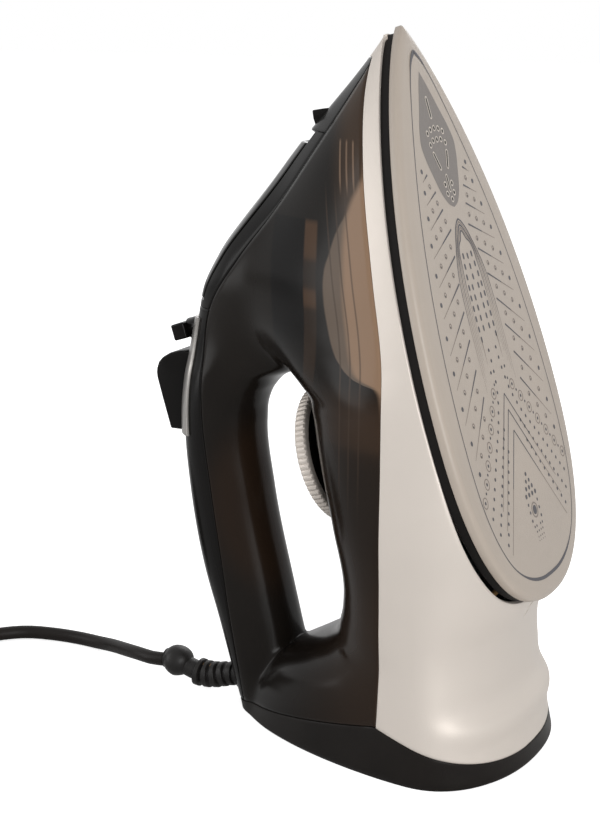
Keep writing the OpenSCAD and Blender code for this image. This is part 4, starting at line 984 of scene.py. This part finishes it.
marks_faint = finish("sole_marks_faint", (0.2, 0.165, 0.14), 0.42, 0.08, 60, 0.05, 2400, 0.1)[0]
marks_pale = finish("sole_marks_pale", (0.56, 0.5, 0.43), 0.35, 0.04, 60, 0.05, 2400, 0.1)[0]
lens_grey = finish("sole_lens_grey", (0.155, 0.134, 0.12), 0.38, 0.05, 40, 0.05, 2400, 0.15)[0]
# painted shade for the insides of the steam holes
hole_shade = finish("hole_shade", (0.018, 0.015, 0.013), 0.6, 0.1, 60, 0.05, 1200, 0.1)[0]
print("finishes so far:", len(bpy.data.materials))

# %% [markdown]
# The smoky shell is a dark brown see-through plastic. Light gets in from behind near the skirt, where
# the water tank is empty. That light is painted into the shell's colour: a tan zone with a paler core
# and the ribs of the tank in it as lines of painted light and painted shade, fainter painted light
# along the seam above and below it, and the rest looks nearly black. The painted light follows the
# seam, so every point of the shell gets two numbers, how far it is from the seam and how high it
# stands, and the finish reads them as the shell's own attribute.

# %% Smoky plastic
def from_seam(ob):
    """Stores for each point its distance to the seam, height and reach from the opening, in decimetres."""
    me = ob.data
    co = np.empty(len(me.vertices) * 3)
    me.vertices.foreach_get("co", co)
    x, y, z = co.reshape(-1, 3).T / MM
    at = me.attributes.new("tank", "FLOAT_VECTOR", "POINT")
    v = np.stack([curve(SEAM, z) - x, z, np.hypot(x - EYE[0], z - EYE[1])], -1) / 100
    at.data.foreach_set("vector", v.ravel())

from_seam(body_shell)
smoky_plastic, nt, ramp, shader = finish("smoky_plastic", (0.0085, 0.0068, 0.0056), 0.2, 0.25, 18, 0.03,
                                         500, 0.012, specular=0.1)

def node(kind, **inputs):
    n = nt.nodes.new(kind)
    for k, v in inputs.items():
        n.inputs[k.replace("_", " ")].default_value = v
    return n

def math_node(op, a, b=None, clamp=False):
    n = nt.nodes.new("ShaderNodeMath")
    n.operation, n.use_clamp = op, clamp
    for i, v in enumerate((a, b)):
        if v is None:
            continue
        if isinstance(v, (int, float)):
            n.inputs[i].default_value = v
        else:
            nt.links.new(v, n.inputs[i])
    return n.outputs[0]

def smooth(value, lo, hi):
    """0 below lo, 1 above hi, smooth between; lo above hi turns it round."""
    n = nt.nodes.new("ShaderNodeMapRange")
    n.interpolation_type = "SMOOTHSTEP"
    flip = lo > hi
    n.inputs["From Min"].default_value, n.inputs["From Max"].default_value = min(lo, hi), max(lo, hi)
    n.inputs["To Min"].default_value, n.inputs["To Max"].default_value = (1, 0) if flip else (0, 1)
    nt.links.new(value, n.inputs["Value"])
    return n.outputs["Result"]

def blend_to(base, colour, amount):
    n = nt.nodes.new("ShaderNodeMix")
    n.data_type = "RGBA"
    nt.links.new(base, n.inputs["A"])
    n.inputs["B"].default_value = (*colour, 1)
    nt.links.new(amount, n.inputs["Factor"])
    return n.outputs["Result"]

tank = nt.nodes.new("ShaderNodeAttribute")
tank.attribute_name = "tank"
parts = nt.nodes.new("ShaderNodeSeparateXYZ")
nt.links.new(tank.outputs["Vector"], parts.inputs[0])
off, high = parts.outputs["X"], parts.outputs["Y"]
def by_height(points):
    """A value that follows a smooth curve over the height, taken as a share of 300 mm."""
    n = nt.nodes.new("ShaderNodeFloatCurve")
    c = n.mapping.curves[0]
    c.points[0].location, c.points[1].location = (0, points[0][1]), (1, points[-1][1])
    for z, v in points[1:-1]:
        c.points.new(z / 300, v)
    n.mapping.update()
    nt.links.new(math_node("MULTIPLY", high, 1 / 3), n.inputs["Value"])
    return n.outputs["Value"]

# over the height: how far from the seam the painted light from behind and its paler core reach, how strong
# the fainter painted light lower down the seam is, and how strong the amber band is
LIT = [[0, 0.0], [150, 0.0], [159.5, 0.0], [160.5, 0.08], [162.5, 0.15], [166, 0.2], [171, 0.235],
       [180, 0.255], [190, 0.258], [200, 0.24], [207, 0.205], [215, 0.16], [224, 0.085], [231, 0.03],
       [236, 0.0], [300, 0.0]]
BRIGHT = [[0, 0.0], [155, 0.0], [160, 0.03], [162, 0.1], [166, 0.145], [180, 0.16], [200, 0.145],
          [215, 0.12], [226, 0.075], [234, 0.02], [238, 0.0], [300, 0.0]]
SEAM_BACKLIGHT = [[0, 0.3], [60, 0.5], [90, 0.3], [120, 0.22], [134, 0.45], [143, 1.0], [151, 0.8], [158, 0.25],
        [164, 0.0], [300, 0.0]]
AMBER = [[0, 0.0], [150, 0.0], [166, 0.3], [184, 0.25], [188, 0.9], [192, 0.8], [196, 0.15], [202, 0.2],
         [206, 0.9], [217, 1.0], [219, 0.0], [300, 0.0]]

def times(*values):
    """The product of several values."""
    out = values[0]
    for v in values[1:]:
        out = math_node("MULTIPLY", out, v)
    return out

lit_edge, backlit_core_edge = by_height(LIT), by_height(BRIGHT)
# painted light: a tan zone along the seam and a paler core in it, where light from behind comes through the
# shell
painted_backlit_zone = smooth(math_node("SUBTRACT", off, lit_edge), 0.006, -0.006)
painted_backlit_core = smooth(math_node("SUBTRACT", off, backlit_core_edge), 0.02, -0.02)
# painted light from behind, coming through the shell along the seam near the tip
painted_tip_backlight = times(smooth(off, 0.2, 0.06), smooth(high, 2.0, 2.3), smooth(high, 2.85, 2.7))
# painted light from behind, coming through the shell along the seam below the tan zone
painted_seam_backlight = times(smooth(off, 0.5, 0.05), by_height(SEAM_BACKLIGHT))
# equal values of this one stand upright inside the tank
upright = math_node("ADD", off, times(high, 0.155))
amber = times(smooth(upright, 0.585, 0.6), smooth(upright, 0.668, 0.655), by_height(AMBER))
chamber = times(smooth(upright, 0.655, 0.665), smooth(upright, 0.86, 0.845), smooth(high, 1.6, 1.75),
                smooth(high, 2.19, 2.18))
inner = times(smooth(high, 0.2, 0.5), smooth(high, 1.7, 1.2), smooth(parts.outputs["Z"], 0.48, 0.3))
# painted light from behind along the lower seam
colour = blend_to(ramp.outputs["Color"], (0.034, 0.02, 0.0125), painted_seam_backlight)
colour = blend_to(colour, (0.016, 0.0095, 0.006), inner)
colour = blend_to(colour, (0.0035, 0.003, 0.0028), chamber)
colour = blend_to(colour, (0.062, 0.034, 0.019), amber)
# painted light from behind along the seam near the tip
colour = blend_to(colour, (0.042, 0.026, 0.0165), painted_tip_backlight)
# painted light from behind: the tan zone by the seam and its paler core
colour = blend_to(colour, (0.105, 0.076, 0.055), painted_backlit_zone)
colour = blend_to(colour, (0.235, 0.15, 0.096), painted_backlit_core)
# ribs of the tank: thin lines of painted light above the painted backlit zone and thin lines of painted shade
# in it
for at in (0.05, 0.085, 0.12):
    line = smooth(math_node("ABSOLUTE", math_node("SUBTRACT", off, at)), 0.0065, 0.002)
    # painted light along a rib
    pale = times(line, smooth(high, 2.5, 2.48), smooth(high, 2.28, 2.36), 0.8)
    colour = blend_to(colour, (0.19, 0.125, 0.085), pale)
for at in (0.1, 0.15, 0.2):
    line = smooth(math_node("ABSOLUTE", math_node("SUBTRACT", off, at)), 0.0065, 0.002)
    # painted shade along a rib
    shade = times(line, smooth(high, 2.36, 2.2), smooth(high, 1.0, 1.5), 0.6)
    colour = blend_to(colour, (0.045, 0.029, 0.02), shade)
nt.links.new(colour, shader.inputs["Base Color"])
print("smoky finish:", len(nt.nodes), "nodes")

# %% [markdown]
# What is hidden inside the iron still gets a finish of its own, so that a lesson which opens the
# iron finds brass, steel, white nylon and ceramic there.

# %% Finishes of the hidden parts
inside = {
    "bare_aluminium": finish("bare_aluminium", (0.72, 0.72, 0.73), 0.38, 0.04, 40, 0.08, 900, 0.15,
                             metallic=1)[0],
    "element_steel": finish("element_steel", (0.32, 0.29, 0.27), 0.42, 0.1, 50, 0.08, 900, 0.15,
                            metallic=0.9)[0],
    "frame_plastic": finish("frame_plastic", (0.05, 0.05, 0.05), 0.55, 0.1, 40, 0.08, 1200, 0.2)[0],
    "brass": finish("brass", (0.72, 0.52, 0.25), 0.3, 0.06, 60, 0.08, 1000, 0.1, metallic=1)[0],
    "steel": finish("steel", (0.6, 0.6, 0.6), 0.3, 0.05, 60, 0.08, 1000, 0.1, metallic=1)[0],
    "ceramic_white": finish("ceramic_white", (0.78, 0.76, 0.72), 0.5, 0.03, 60, 0.08, 1200, 0.15)[0],
    "sleeve": finish("sleeve", (0.6, 0.57, 0.5), 0.7, 0.08, 200, 0.08, 3000, 0.4)[0],
    "wire_sleeves": finish("wire_sleeves", (0.35, 0.2, 0.08), 0.5, 0.08, 200, 0.08, 1200, 0.1)[0],
    "white_nylon": finish("white_nylon", (0.74, 0.73, 0.7), 0.45, 0.03, 60, 0.06, 1200, 0.15)[0],
    "seal_rubber": finish("seal_rubber", (0.4, 0.38, 0.36), 0.6, 0.06, 60, 0.06, 1200, 0.2)[0],
}
seen = {"sole_ceramic": sole_ceramic, "gasket_black": gasket_black, "silver_plastic": silver_plastic,
        "smoky_plastic": smoky_plastic, "black_gloss": black_gloss, "lid_gloss": lid_gloss,
        "heel_black": heel_black, "silver_trim": silver_trim, "boot_rubber": boot_rubber,
        "cord_black": cord_black, "plug_black": plug_black, "plug_metal": plug_metal}
by_slot = {**inside, **seen}
slot_of = {part["node"]: part["material_slot"] for part in frame["record"]["subparts"]}
for name, ob in frame["nodes"].items():
    ob.data.materials.clear()
    ob.data.materials.append(by_slot[slot_of[name]])

def dress(mat, *obs):
    for ob in obs:
        ob.data.materials.clear()
        ob.data.materials.append(mat)

dress(smoky_plastic, body_shell)
dress(silver_plastic, skirt, dial)
dress(silver_trim, control_plate)
dress(black_gloss, handle_cover, nose_cap, front_bezel, spray_button, burst_button, steam_lever,
      spray_nozzle, dial_cap)
dress(lid_gloss, fill_lid)
dress(heel_black, heel_cover)
dress(sole_ceramic, soleplate)
dress(gasket_black, gasket)
dress(boot_rubber, boot)
dress(cord_black, cord)
dress(plug_black, plug_body, coil_tie)
dress(plug_metal, plug_pins)
dress(marks_dark, marks["sole_marks_dark"])
dress(marks_faint, marks["sole_marks_faint"])
dress(marks_pale, marks["sole_marks_pale"])
dress(lens_grey, marks["sole_lens"])
dress(hole_shade, marks["sole_holes"])

# %% [markdown]
# The set is a pale floor with soft light from large panels. The panels also draw the long reflections
# on the glossy shell. To the camera, and in mirrors, the world is plain white; to everything else it
# is a mild grey sky.

# %% Floor, sky and lamps
def pale_floor():
    me = bpy.data.meshes.new("floor")
    me.from_pydata([(-6, -6, 0), (6, -6, 0), (6, 6, 0), (-6, 6, 0)], [], [(0, 1, 2, 3)])
    ob = bpy.data.objects.new("floor", me)
    bpy.context.scene.collection.objects.link(ob)
    mat = bpy.data.materials.new("pale_floor")
    mat.use_nodes = True
    nt = mat.node_tree
    nt.nodes.clear()
    out = nt.nodes.new("ShaderNodeOutputMaterial")
    matte = nt.nodes.new("ShaderNodeBsdfDiffuse")
    matte.inputs["Color"].default_value = (0.93, 0.93, 0.93, 1)
    glow = nt.nodes.new("ShaderNodeEmission")
    glow.inputs["Strength"].default_value = 0.7
    add = nt.nodes.new("ShaderNodeAddShader")
    mix = nt.nodes.new("ShaderNodeMixShader")
    rays = nt.nodes.new("ShaderNodeLightPath")
    nt.links.new(matte.outputs[0], add.inputs[0])
    nt.links.new(glow.outputs[0], add.inputs[1])
    nt.links.new(rays.outputs["Is Camera Ray"], mix.inputs[0])
    nt.links.new(matte.outputs[0], mix.inputs[1])
    nt.links.new(add.outputs[0], mix.inputs[2])
    nt.links.new(mix.outputs[0], out.inputs["Surface"])
    me.materials.append(mat)
    return ob

def white_sky(grey):
    world = bpy.data.worlds.new("sky")
    bpy.context.scene.world = world
    world.use_nodes = True
    nt = world.node_tree
    nt.nodes.clear()
    out = nt.nodes.new("ShaderNodeOutputWorld")
    soft = nt.nodes.new("ShaderNodeBackground")
    soft.inputs["Color"].default_value = (1, 1, 1, 1)
    soft.inputs["Strength"].default_value = grey
    plain = nt.nodes.new("ShaderNodeBackground")
    plain.inputs["Color"].default_value = (1, 1, 1, 1)
    mix = nt.nodes.new("ShaderNodeMixShader")
    rays = nt.nodes.new("ShaderNodeLightPath")
    a = nt.nodes.new("ShaderNodeMath")
    a.operation = "MAXIMUM"
    b = nt.nodes.new("ShaderNodeMath")
    b.operation = "MAXIMUM"
    nt.links.new(rays.outputs["Is Camera Ray"], a.inputs[0])
    nt.links.new(rays.outputs["Is Glossy Ray"], a.inputs[1])
    nt.links.new(a.outputs[0], b.inputs[0])
    nt.links.new(rays.outputs["Is Transmission Ray"], b.inputs[1])
    nt.links.new(b.outputs[0], mix.inputs[0])
    nt.links.new(soft.outputs[0], mix.inputs[1])
    nt.links.new(plain.outputs[0], mix.inputs[2])
    nt.links.new(mix.outputs[0], out.inputs["Surface"])

def panel(name, place, aim, size, power, colour=(1, 1, 1)):
    data = bpy.data.lights.new(name, "AREA")
    data.shape, data.size, data.size_y, data.energy, data.color = "RECTANGLE", size[0], size[1], power, colour
    ob = bpy.data.objects.new(name, data)
    ob.location = place
    ob.rotation_euler = (Vector(aim) - Vector(place)).to_track_quat("-Z", "Y").to_euler()
    bpy.context.scene.collection.objects.link(ob)

pale_floor()
white_sky(0.45)
panel("key", (1.3, -1.3, 0.6), (0, 0, 0.12), (1.0, 1.0), 22)
panel("left", (-1.2, -0.7, 0.4), (0, 0, 0.13), (0.5, 1.2), 6)
panel("back", (-0.2, 1.2, 0.9), (0, 0, 0.15), (1.0, 0.8), 6)
print("lamps:", [l.name for l in bpy.data.lights])
